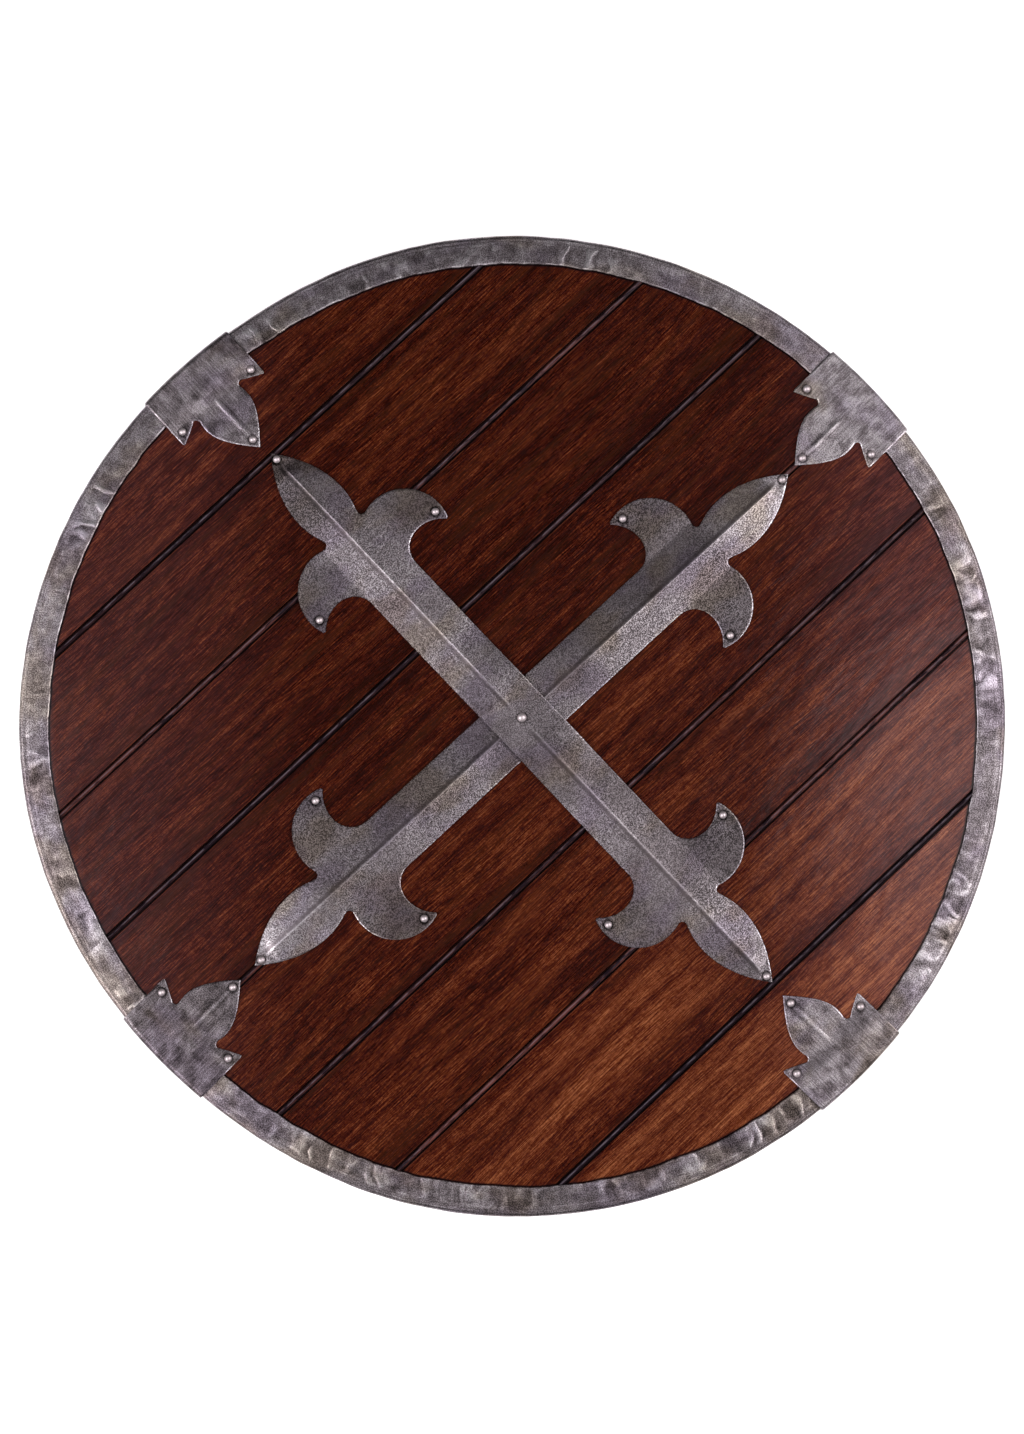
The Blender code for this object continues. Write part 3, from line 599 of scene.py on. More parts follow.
def rim_section():
    """The channel's section as (distance in from the outside, z, distance along the sheet's outside)."""
    top = BOARD_FACE + GAP + SHEET
    bottom = BOARD_BACK - GAP - SHEET
    points = [(RIM_FRONT_FLANGE, top - drop, RIM_FRONT_FLANGE) for drop in (SHEET, RIM_ARRIS)]
    points += [(depth, top, depth) for depth in spaced(RIM_FRONT_FLANGE - RIM_ARRIS, RIM_BEND, RIM_STEP)]
    for angle in range(75, -1, -15):
        turn = math.radians(angle)
        points.append((RIM_BEND * (1 - math.cos(turn)), top - RIM_BEND * (1 - math.sin(turn)),
                       RIM_BEND * turn - RIM_BEND * (math.pi / 2 - 1)))
    for height in spaced(top - RIM_BEND, bottom + RIM_BEND, 1.5 * MM)[1:-1]:
        points.append((0, height, height - top))
    for angle in range(0, 91, 15):
        turn = math.radians(angle)
        points.append((RIM_BEND * (1 - math.cos(turn)), bottom + RIM_BEND * (1 - math.sin(turn)),
                       bottom - top - RIM_BEND * turn))
    points += [(depth, bottom, bottom - top - depth)
               for depth in spaced(RIM_BEND, RIM_BACK_FLANGE, 2 * MM)[1:]]
    points += [(depth, bottom + SHEET, bottom - top - depth)
               for depth in spaced(RIM_BACK_FLANGE, SHEET, RIM_HIDDEN_STEP)]
    points += [(depth, top - SHEET, depth) for depth in spaced(SHEET, RIM_FRONT_FLANGE, RIM_HIDDEN_STEP)[:-1]]
    return points


def dent(around_rim, inwards, height):
    """(inwards, upwards) moves of a point of the rim, as its hammering left it."""
    along, across = around_rim / MM, inwards / MM
    flange = float(ease(inwards, *FLANGE_STARTS))
    broad, pleat, fine = (waves(along, across, [kind]) for kind in RIM_DENTS)
    strong = 0.5 + 0.5 * float(ease(wander(along / DENT_STRETCH, 0, 12.3), -0.25, 0.35))
    rise = (broad + pleat * strong + fine) * flange
    edge = waves(along, 0, RIM_WAVES)
    outer = waves(along, height / MM, OUTSIDE_WAVES)
    groove, groove_place, groove_width = RIM_FOLD
    fold_line = -groove * math.exp(-((across - groove_place) / groove_width) ** 2)
    slope = -RIM_SLOPE * (1 - float(ease(inwards, 0, RIM_FRONT_FLANGE)))
    shift = edge * flange + outer * (1 - flange)
    return shift * MM, (max(rise, -0.25 * (1 - slope)) + fold_line + slope) * MM


def make_rim(material):
    section = rim_section()
    ring = trace("steel_rim", [(RADIUS - depth, 0, z) for depth, z, _ in section], True)
    give(ring, unrolled=[run for _, _, run in section])
    turn_round(ring, RIM_STEPS)

    places = points_of(ring)
    unrolled = taken(ring, "unrolled")
    sheet, foot, polish = [], [], []
    turn = Matrix.Rotation(math.radians(RIM_START), 2)
    for place, run in zip(places, unrolled):
        low = place[2] < BOARD_FACE + GAP + SHEET / 4
        front = place[2] > (BOARD_FACE + BOARD_BACK) / 2
        # The foot of the inner edge, where it meets the boards, is painted darker as shade.
        foot.append(low and front and run > RIM_FRONT_FLANGE - BESIDE)
        angle = math.atan2(place[1], place[0]) % math.tau
        inwards = RADIUS - math.hypot(place[0], place[1])
        shift, rise = dent(angle * RADIUS + (not front), inwards, place[2])
        direction = turn @ Vector((math.cos(angle), math.sin(angle)))
        degrees = math.degrees(angle) + RIM_START
        place[0], place[1] = direction * (rim_radius(degrees) - inwards - shift)
        place[2] += rise if front else -0.3 * rise
        sheet.append((angle * RADIUS, run, 0))
        # Painted light and shade, lighter and darker round the rim.
        polish.append(np.interp(degrees % 360, range(0, 361, 30), RIM_PAINTED_LIGHT))
    put_points(ring, places)
    give(ring, sheet=sheet, worn=unrolled > RIM_FRONT_FLANGE - 4 * BESIDE, polish=polish, foot=foot)
    hand_in(ring, material, "rim_band", sharp=60)


# ---------------------------------------------------------------- crossed bars

def leaf_half_width(along):
    share = (along - LEAF_START) / (BAR_HALF_LENGTH - LEAF_START)
    return LEAF_HALF_WIDTH * (1 - share * share)


def bar_outline():
    """The whole outline of a bar, from a quarter of it."""
    quarter = Outline((0, BAR_HALF_WIDTH))
    quarter.line((115.5 * MM, BAR_HALF_WIDTH))
    quarter.curve((123.5 * MM, BAR_HALF_WIDTH), (129.8 * MM, 25.5 * MM), (129.8 * MM, 34.5 * MM))
    quarter.curve((129.8 * MM, 41 * MM), (127 * MM, 47 * MM), HOOK_TIP)
    quarter.line(around(HOOK_CENTRE, HOOK_RADIUS, math.radians(110), 0))
    quarter.arc(HOOK_CENTRE, HOOK_RADIUS, 110, -19, 2)
    quarter.curve((159.8 * MM, 15.3 * MM), (160.8 * MM, 13.8 * MM), (162.3 * MM, 13.8 * MM))
    quarter.curve((164.5 * MM, 13.8 * MM), (171 * MM, LEAF_HALF_WIDTH), (LEAF_START, LEAF_HALF_WIDTH))
    # These handles make the spline the leaf's parabola exactly
    length = BAR_HALF_LENGTH - LEAF_START
    quarter.curve((LEAF_START + length / 3, LEAF_HALF_WIDTH),
                  (LEAF_START + length * 2 / 3, LEAF_HALF_WIDTH * 2 / 3), (BAR_HALF_LENGTH, 0))
    right = quarter.knots + mirrored(quarter.knots, 1, -1)
    return closed_outline(right + mirrored(right, -1, 1))


def roof(along, across):
    """How far the sheet stands up beside its ridge: full on the bar, and down with the leaf's width."""
    half = BAR_HALF_WIDTH - (BAR_HALF_WIDTH - LEAF_HALF_WIDTH) * ease(along, LEAF_NECK, LEAF_START)
    half = np.where(along > LEAF_START, leaf_half_width(along), half)
    flattened = 1 - ease(along, *TIP_FLATTENS)
    return RIDGE_HEIGHT / BAR_HALF_WIDTH * np.clip(half - abs(across), 0, None) * flattened


def under_bar_height(along, across):
    return roof(along, across) * (UNDER_FLAT + (1 - UNDER_FLAT) * ease(along, *UNDER_RISES))


def over_bar_height(along, across):
    lift = OVER_LIFT * (1 - ease(along, *OVER_DROPS))
    return lift + roof(along, across) * ease(along, *OVER_RISES)


def flank(across):
    """How far the sheet sinks in beside a ridge, which the fold left sharper than its flanks."""
    away = abs(across)
    return FLANK_DEPTH * (1 - np.exp(-away / FLANK_REACH)) * (1 - ease(away, FLANK_REACH, BAR_HALF_WIDTH))


def bar_nail_spots():
    hook_along, hook_across = BAR_HOOK_NAIL
    spots = [(side * BAR_TIP_NAIL, 0) for side in (-1, 1)]
    return spots + [(side * hook_along, edge * hook_across) for side in (-1, 1) for edge in (-1, 1)]


def bar_matrix(place):
    x, y, heading = place
    return Matrix.Translation((x, y, BOARD_FACE + GAP)) @ Matrix.Rotation(math.radians(heading), 4, "Z")


def near_nails(places, spots):
    """1 under and just beside the nails' heads, falling to 0 a little way off."""
    found = np.zeros(len(places))
    for spot in spots:
        away = np.hypot(places[:, 0] - spot[0], places[:, 1] - spot[1])
        found = np.maximum(found, 1 - ease(away, *NAIL_RING))
    return found


def make_bar(name, place, height, spots, brushed, material):
    bar = cut_plate(f"stippled_{name}", bar_outline(), PLATE_SQUARE, 2)
    filed = taken(bar, "filed")
    places = points_of(bar)
    along, across = abs(places[:, 0]), places[:, 1]
    level = across * 0
    ridge = np.clip((height(along, level) - height(along, level + SIDE_FADE)) / RIDGE_SHOWS, 0, 1)
    # The plate is darker in a ring round each nail's head.
    seats = near_nails(places, spots)
    lit = ease(-across, -SIDE_FADE, SIDE_FADE)  # the side of the ridge that faces the lights: its cut edge is filed rounder and painted with a highlight line, the other side's with a painted shade line
    stretches = (-LEAF_START, -LEAF_NECK, -CROSSING, CROSSING, LEAF_NECK, LEAF_START)
    # Each stretch is made lighter by its own amount, and one side of the ridge is painted lighter than the
    # other as light and shade.
    tone, sides = (np.interp(places[:, 0], stretches, (a, b, b, c, c, d)) for a, b, c, d in brushed)
    hooks = ease(abs(across), BAR_HALF_WIDTH, HOOK_CENTRE[1] + 6 * MM)
    # The cut edges on the lit side get a painted highlight line, and those on the other side a painted shade
    # line.
    give(bar, worn=edge_wear(filed) * (1.5 * lit - 0.5),
         ridge=ridge, across=across, grime=seats,
         brushed=tone + sides * np.clip(across / SIDE_FADE, -1, 1) - HOOKS_DARKER * hooks)
    pits = [waves(x, y, BAR_PITS) * MM for x, y, _ in places / MM]
    places[:, 2] = (BAR_SHEET - BAR_SUNK + height(along, across) + pits - flank(across) * ridge
                    - filed * (0.3 + 0.7 * lit) * FILED_DROP - NAIL_DIMPLE * seats)
    put_points(bar, places)
    apply_modifier(bar, "SOLIDIFY", thickness=BAR_SHEET, offset=-1)
    bar.data.transform(bar_matrix(place))
    hand_in(bar, material, name, sharp=20)


# ---------------------------------------------------------------- rim clamps

CLAMP_TOP = BOARD_FACE + 2 * (GAP + SHEET)
CLAMP_BOTTOM = BOARD_BACK - 2 * (GAP + SHEET)
CLAMP_STEP = GAP + SHEET
BEND_LENGTH = CLAMP_BEND * math.pi / 2
WEB_LENGTH = CLAMP_TOP - CLAMP_BOTTOM - 2 * CLAMP_BEND


def clamp_outline():
    """The clamp as cut from sheet. Y is 0 where the front bend starts, and rises over the back flange."""
    def front(inwards, across):
        return (across, CLAMP_BEND - inwards)

    end = 2 * BEND_LENGTH + WEB_LENGTH + CLAMP_BACK_LENGTH - CLAMP_BEND
    half = Outline((0, end))
    half.line((CLAMP_HALF_WIDTH, end))
    half.line(front(36 * MM, CLAMP_HALF_WIDTH))
    half.line(front(37.4 * MM, 33.3 * MM))
    half.curve(front(36 * MM, 30 * MM), front(33 * MM, 24 * MM), front(30.2 * MM, 19.6 * MM))
    half.curve(front(30 * MM, 18.2 * MM), front(31.4 * MM, 16.7 * MM), front(33.4 * MM, 16.6 * MM))
    half.curve(front(36 * MM, 17.5 * MM), front(41 * MM, 17.8 * MM), front(45 * MM, 16.6 * MM))
    half.curve(front(53 * MM, 14.3 * MM), front(60 * MM, 8.5 * MM), front(CLAMP_LENGTH, 0))
    return closed_outline(half.knots + mirrored(half.knots, -1, 1))


def fold(across, run, lift, sag):
    """Where a point of the cut sheet lies on the folded clamp. run is its distance past the front bend's
    start, lift its height over the sheet's outer surface, and sag how far the rim falls back there."""
    if run <= 0:
        inwards = CLAMP_BEND - run
        follows = 1 - ease(inwards, *FOLLOWS_RIM)
        crease = CREASE_HEIGHT * ease(inwards, *CREASE_RISES) * (1 - ease(inwards, *CREASE_ENDS))
        height = CLAMP_TOP - CLAMP_STEP * ease(inwards, *FRONT_JOGGLE)
        height += crease * max(0.0, 1 - abs(across) / CREASE_HALF_WIDTH) ** 4
        return (across, -inwards - sag * follows, height + lift)
    radius = CLAMP_BEND + lift
    if run <= BEND_LENGTH:
        turn = run / CLAMP_BEND
        return (across, -CLAMP_BEND - sag + radius * math.sin(turn),
                CLAMP_TOP - CLAMP_BEND + radius * math.cos(turn))
    run -= BEND_LENGTH
    if run <= WEB_LENGTH:
        return (across, -sag + lift, CLAMP_TOP - CLAMP_BEND - run)
    run -= WEB_LENGTH
    if run <= BEND_LENGTH:
        turn = run / CLAMP_BEND
        return (across, -CLAMP_BEND - sag + radius * math.cos(turn),
                CLAMP_BOTTOM + CLAMP_BEND - radius * math.sin(turn))
    inwards = CLAMP_BEND + run - BEND_LENGTH
    height = CLAMP_BOTTOM + CLAMP_STEP * ease(inwards, *BACK_JOGGLE)
    return (across, -inwards - sag, height - lift)


def over_rim(angle):
    """The point on the clamps' outer surface at an angle round the rim."""
    radius = rim_radius(angle) + GAP + SHEET
    return Vector((radius * math.cos(math.radians(angle)), radius * math.sin(math.radians(angle))))


def rim_falls_back(angle, skew, across):
    beside = angle - math.degrees(math.asin(across / RADIUS))
    away = over_rim(beside) - over_rim(angle)
    return -(Matrix.Rotation(math.radians(90 - angle - skew), 2) @ away).y


def clamp_matrix(angle, skew):
    x, y = over_rim(angle)
    return Matrix.Translation((x, y, 0)) @ Matrix.Rotation(math.radians(angle - 90 + skew), 4, "Z")


def make_clamps(material):
    flat = cut_plate("clamp_blank", clamp_outline(), PLATE_SQUARE, 2)
    filed = taken(flat, "filed")
    places = points_of(flat)
    across, run = places[:, 0], places[:, 1]
    inwards, aside = CLAMP_TAB_RIVET
    spots = [(side * aside, CLAMP_BEND - inwards) for side in (-1, 1)] + [(0, CLAMP_BEND - CLAMP_TIP_NAIL)]
    # The sheet is darker in a ring round each nail's head.
    seats = near_nails(places, spots)
    start, full, fades, end = CREASE_SHOWS
    creased = ease(-run, start, full) * ease(run, -end, -fades)
    crest = np.exp(-(across / CREASE_RUBBED) ** 2)
    blacking = np.exp(-((abs(across) - BLACKING[0]) / BLACKING[1]) ** 2)
    # The crease's top is rubbed bright under a painted highlight, and the front bend is painted darker as
    # shade.
    give(flat, worn=edge_wear(filed), grime=seats,
         crease=creased * (crest - 0.8 * blacking),
         bend=np.exp(-((run - BEND_LENGTH / 2) / BEND_SHADE) ** 2))
    for number, (angle, skew) in enumerate(CLAMPS, 1):
        clamp = moved_copy(flat, f"clamp_{number}", Matrix.Identity(4))
        folded = []
        for (x, y, _), rounded, seat in zip(places, filed, seats):
            uneven = waves(x / MM, y / MM, [(*kind, number * seed) for *kind, seed in CLAMP_UNEVEN]) * MM
            lift = uneven - CLAMP_SUNK - rounded * FILED_DROP - NAIL_DIMPLE * seat
            folded.append(fold(x, y, lift, rim_falls_back(angle, skew, x)))
        give(clamp, sheet=places + (number, 0, 0), polish=CLAMP_LIGHTNESS[number - 1])
        put_points(clamp, folded)
        apply_modifier(clamp, "SOLIDIFY", thickness=SHEET, offset=-1)
        clamp.data.transform(clamp_matrix(angle, skew))
        hand_in(clamp, material, f"rim_clamp_{number}", sharp=40)
    bpy.data.objects.remove(flat)


# ---------------------------------------------------------------- nails, rivets and screws

def turned(name, profile, sides=NAIL_SIDES):
    """A round solid from a profile that runs down its outer side."""
    piece = trace(name, [(x, 0, z) for x, z in profile], False)
    turn_round(piece, sides)
    return piece


def dome(radius, height, steps=7):
    """A round head's profile, from its middle to the edge of its flat side."""
    sphere = (radius ** 2 + height ** 2) / (2 * height)
    opening = math.asin(min(1.0, radius / sphere))
    angles = [opening * number / steps for number in range(steps + 1)]
    return [(sphere * math.sin(angle), height - sphere * (1 - math.cos(angle))) for angle in angles]


def place_nails(profile, material, stem, matrices):
    """Copies a turned nail to each place, each head turned and dressed a little differently."""
    blank = turned("nail_blank", profile)
    for number, matrix in enumerate(matrices, 1):
        turn = Matrix.Rotation(number * NAIL_TURN, 4, "Z")
        tilt = Matrix.Rotation(NAIL_TILT * wander(number * 1.7, 0, 3.0), 4, "X")
        nail = moved_copy(blank, f"{stem}_head_{number}", matrix @ turn @ tilt)
        hand_in(nail, material, f"{stem}_{number}", sharp=50)
    bpy.data.objects.remove(blank)


def make_nails(material):
    shank = [(NAIL_RADIUS, 0), (NAIL_RADIUS, -NAIL_DEPTH), (0, -NAIL_DEPTH - NAIL_POINT)]
    head = dome(NAIL_HEAD_RADIUS, NAIL_HEAD_HEIGHT)
    seat = GAP + BAR_SHEET
    places = [Matrix.Translation(bar_matrix(bar) @ Vector((*spot, seat)))
              for bar in (UNDER_BAR, OVER_BAR) for spot in bar_nail_spots()]
    place_nails(head + shank, material, "bar_nail", places)

    inwards, aside = CLAMP_TAB_RIVET
    clamp_top = CLAMP_TOP - CLAMP_STEP + GAP
    tips, tabs = ([clamp_matrix(*clamp) @ Matrix.Translation((*spot, clamp_top))
                   for clamp in CLAMPS for spot in spots]
                  for spots in ([(0, -CLAMP_TIP_NAIL)], [(-aside, -inwards), (aside, -inwards)]))
    place_nails(head + shank, material, "clamp_nail", tips)
    tail_seat = -(CLAMP_TOP - CLAMP_BOTTOM - 2 * CLAMP_STEP + 2 * GAP)
    tail = [(x, tail_seat - z) for x, z in reversed(dome(*RIVET_TAIL, 5))]
    place_nails(head + [(NAIL_RADIUS, 0), (NAIL_RADIUS, tail_seat)] + tail, material, "clamp_rivet", tabs)

    centre = turned("centre_nail_head", dome(CENTRE_HEAD_RADIUS, NAIL_HEAD_HEIGHT) + shank)
    centre.data.transform(Matrix.Translation((*OVER_BAR[:2], BOARD_FACE + GAP + seat + OVER_LIFT)))
    hand_in(centre, material, "centre_nail", sharp=50)


def make_screws(material):
    """The straps' screws, with slotted round heads that look down."""
    head = [(x, -z) for x, z in dome(SCREW_HEAD_RADIUS, SCREW_HEAD_HEIGHT)]
    shank = [(SCREW_RADIUS, 0), (SCREW_RADIUS, SCREW_LENGTH - SCREW_POINT), (0, SCREW_LENGTH)]
    blank = turned("screw_blank", head + shank, 32)
    half, left = SCREW_SLOT
    length, height = SCREW_CUTTER
    cut_out(blank, (-length, -half, -height), (length, half, -left))
    for number, (side, end) in enumerate(((1, -1), (1, 1), (-1, -1), (-1, 1)), 1):
        place = Matrix.Translation((end * SCREW_X, side * STRAP_Y, STRAP_BOTTOM - GAP))
        turn = Matrix.Rotation(number * NAIL_TURN, 4, "Z")
        screw = moved_copy(blank, f"turned_screw_{number}", place @ turn)
        hand_in(screw, material, f"strap_screw_{number}")
    bpy.data.objects.remove(blank)


# ---------------------------------------------------------------- battens and straps

def block(name, low, high):
    bpy.ops.object.select_all(action="DESELECT")
    bpy.ops.mesh.primitive_cube_add(size=1, location=(Vector(high) + Vector(low)) / 2)
    piece = bpy.context.object
    piece.name = name
    edit(piece)
    bpy.ops.transform.resize(value=Vector(high) - Vector(low))
    leave_edit()
    bpy.ops.object.transform_apply(location=True)
    return piece


def cut_out(piece, low, high):
    """Cuts a block's shape out of the piece."""
    cutter = block("cutter", low, high)
    apply_modifier(piece, "BOOLEAN", operation="DIFFERENCE", solver="EXACT", object=cutter)
    bpy.data.objects.remove(cutter)


def make_battens(material):
    """Sawn battens with their edges taken off by a plane, housed for the two straps."""
    past = 5 * MM
    half = STRAP_WIDTH / 2 + 2 * GAP
    top = STRAP_BOTTOM + STRAP_THICKNESS + GAP
    for number in (1, 2):
        low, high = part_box(f"batten_{number}")
        low.z += CLEAR_OF_FLOOR
        batten = block(f"sawn_batten_{number}", low, high)
        for y in (-STRAP_Y, STRAP_Y):
            cut_out(batten, (low.x - past, y - half, -past), (high.x + past, y + half, top))
        apply_modifier(batten, "BEVEL", width=BATTEN_BEVEL, segments=3, limit_method="ANGLE")
        face_outwards(batten)
        hand_in(batten, material, f"batten_{number}")


def strap_outline():
    """A strap with half-round ends, laid out flat."""
    half = STRAP_WIDTH / 2
    right = Outline((0, -half))
    right.line((STRAP_END_X - half, -half))
    right.arc((STRAP_END_X - half, 0), half, -90, 90, 2)
    right.line((0, half))
    return closed_outline(right.knots + mirrored(right.knots, -1, 1))


def make_straps(material):
    """Leather straps that hang a little between the battens. Their outer side looks down."""
    for number, (name, side) in enumerate((("grip_strap", 1), ("arm_strap", -1))):
        strap = cut_plate(f"leather_{name}", strap_outline(), 4 * MM, 1)
        filed = taken(strap, "filed")
        places = points_of(strap)
        along = abs(places[:, 0])
        depth, length, width, seed = STRAP_UNEVEN
        worked = [waves(x, y, [(depth, length, width, number * seed)]) + depth for x, y, _ in places]
        free = 1 - ease(along, STRAP_FREE_X - STRAP_FREED, STRAP_FREE_X)
        away = np.hypot(along - SCREW_X, places[:, 1])
        reach, pressed = SCREW_DIMPLE
        dimple = 1 - ease(away, SCREW_HEAD_RADIUS, SCREW_HEAD_RADIUS + reach)
        places[:, 2] = (STRAP_BOTTOM - STRAP_SAG * (1 - ease(along, 0, STRAP_FREE_X))
                        + STRAP_ROUNDED * filed + np.array(worked) * free + pressed * dimple)
        places[:, 1] += side * STRAP_Y
        put_points(strap, places)
        # The leather is darker in the dimple round each screw's head.
        give(strap, worn=edge_wear(filed), grime=dimple,
             gripped=1 - ease(along, *STRAP_GRIPPED))
        edit(strap)
        bpy.ops.mesh.flip_normals()
        leave_edit()
        apply_modifier(strap, "SOLIDIFY", thickness=STRAP_THICKNESS - GAP, offset=-1)
        hand_in(strap, material, name, sharp=50)


# ---------------------------------------------------------------- finishes

def linear(code):
    """An sRGB hex colour as the linear colour that a shader takes."""
    shares = [int(code[start:start + 2], 16) / 255 for start in (0, 2, 4)]
    return tuple(s / 12.92 if s <= 0.04045 else ((s + 0.055) / 1.055) ** 2.4 for s in shares) + (1.0,)


def add_node(tree, kind, inputs, stops=(), **settings):
    """Adds a node with its settings. An input is a value, or the socket that feeds it."""
    node = tree.nodes.new("ShaderNode" + kind)
    for name, value in settings.items():
        setattr(node, name, value)
    for number, (place, code) in enumerate(stops):
        stop = node.color_ramp.elements[number] if number < 2 else node.color_ramp.elements.new(place)
        stop.position = place
        stop.color = linear(code)
    for key, value in inputs.items():
        if isinstance(value, bpy.types.NodeSocket):
            tree.links.new(value, node.inputs[key])
        else:
            node.inputs[key].default_value = value
    return node


def new_finish(name, patterns, *given, unrolled=False):
    """A finish from a function that lays its patterns and gives the shader's inputs. The function gets
    the place on the object, or on the sheet before it was folded, and the numbers given to the points."""
    material = bpy.data.materials.new(name)
    material.use_nodes = True
    tree = material.node_tree
    tree.nodes.clear()
    if unrolled:
        place = add_node(tree, "Attribute", {}, attribute_name="sheet").outputs["Vector"]
    else:
        place = add_node(tree, "TexCoord", {}).outputs["Object"]
    own = [add_node(tree, "Attribute", {}, attribute_name=number).outputs["Fac"] for number in given]
    shader = add_node(tree, "BsdfPrincipled", patterns(tree, place, *own))
    add_node(tree, "OutputMaterial", {"Surface": shader.outputs[0]})
    return material


def patches(tree, place, size, low, high, share=1.0, seed=0.0, detail=3.0):
    """Patches about so many mm long and wide: 0 where they are weaker than low, the share past high."""
    length, width = size
    mapped = add_node(tree, "Mapping", {
        "Vector": place, "Location": (seed * 3.1, seed * 7.7, seed * 1.3),
        "Scale": (1 / (length * MM), 1 / (width * MM), 1 / (width * MM))})
    noise_node = add_node(tree, "TexNoise", {"Vector": mapped.outputs[0], "Scale": 1.0, "Detail": detail})
    return add_node(tree, "MapRange", {"Value": noise_node.outputs[0], "From Min": low, "From Max": high,
                                       "To Max": share}, interpolation_type="SMOOTHSTEP").outputs[0]


def line_along(tree, value, middle, reach):
    """1 where a value is at its middle, fading to 0 within the reach on both sides."""
    beside = add_node(tree, "Math", {0: value, 1: middle}, operation="SUBTRACT").outputs[0]
    away = add_node(tree, "Math", {0: beside}, operation="ABSOLUTE").outputs[0]
    return add_node(tree, "MapRange", {"Value": away, "From Max": reach, "To Min": 1.0, "To Max": 0.0},
                    interpolation_type="SMOOTHSTEP").outputs[0]


def times(tree, pattern, *others):
    """The patterns multiplied together."""
    for other in others:
        pattern = add_node(tree, "Math", {0: pattern, 1: other}, operation="MULTIPLY").outputs[0]
    return pattern


def lay_colours(tree, colour, *layers):
    """Lays colours over each other. Each layer is where it lies, its colour and how it mixes."""
    for where, code, blend in layers:
        mix = add_node(tree, "Mix", {0: where, 6: colour, 7: linear(code)}, data_type="RGBA",
                       blend_type=blend)
        colour = mix.outputs[2]
    return colour


def add_up(tree, base, *parts):
    """A value that starts at the base, and has each pattern times its amount added to it."""
    total = base
    for where, amount in parts:
        total = add_node(tree, "Math", {0: where, 1: amount, 2: total}, operation="MULTIPLY_ADD").outputs[0]
    return total


def raised(tree, *parts):
    """The normal of a surface with these patterns standing up from it, each with its height in mm."""
    height = add_up(tree, 0.0, *[(where, amount * MM) for where, amount in parts])
    return add_node(tree, "Bump", {"Height": height, "Distance": 1.0}).outputs["Normal"]


# How light the stain left the wood, from the darkest to the lightest
WOOD_TONES = ((0, "1e0601"), (1, "a86842"), (0.2, "2b0802"), (0.35, "3c1006"), (0.5, "501f0e"),
              (0.65, "69321b"), (0.8, "84492b"))
BATTEN_TONES = ((0, "1c0c06"), (1, "b58a5c"), (0.35, "4e2c18"), (0.6, "7c5030"), (0.8, "9a6c44"))
LEATHER_TONES = ((0, "140a07"), (1, "a0663c"), (0.3, "35180c"), (0.55, "5c3119"), (0.8, "824d2b"))
BLOWS = (13, 34, 34)  # how far apart the rim's hammer blows fell, in mm along and across it
BLOWS_START = (6.2, 15.4, 2.6)  # where their pattern starts
# How far the blacking was brushed off the steel
STEEL_TONES = ((0, "1c191a"), (1, "d8d1d5"), (0.25, "464041"), (0.5, "736a6d"), (0.75, "a2999e"))


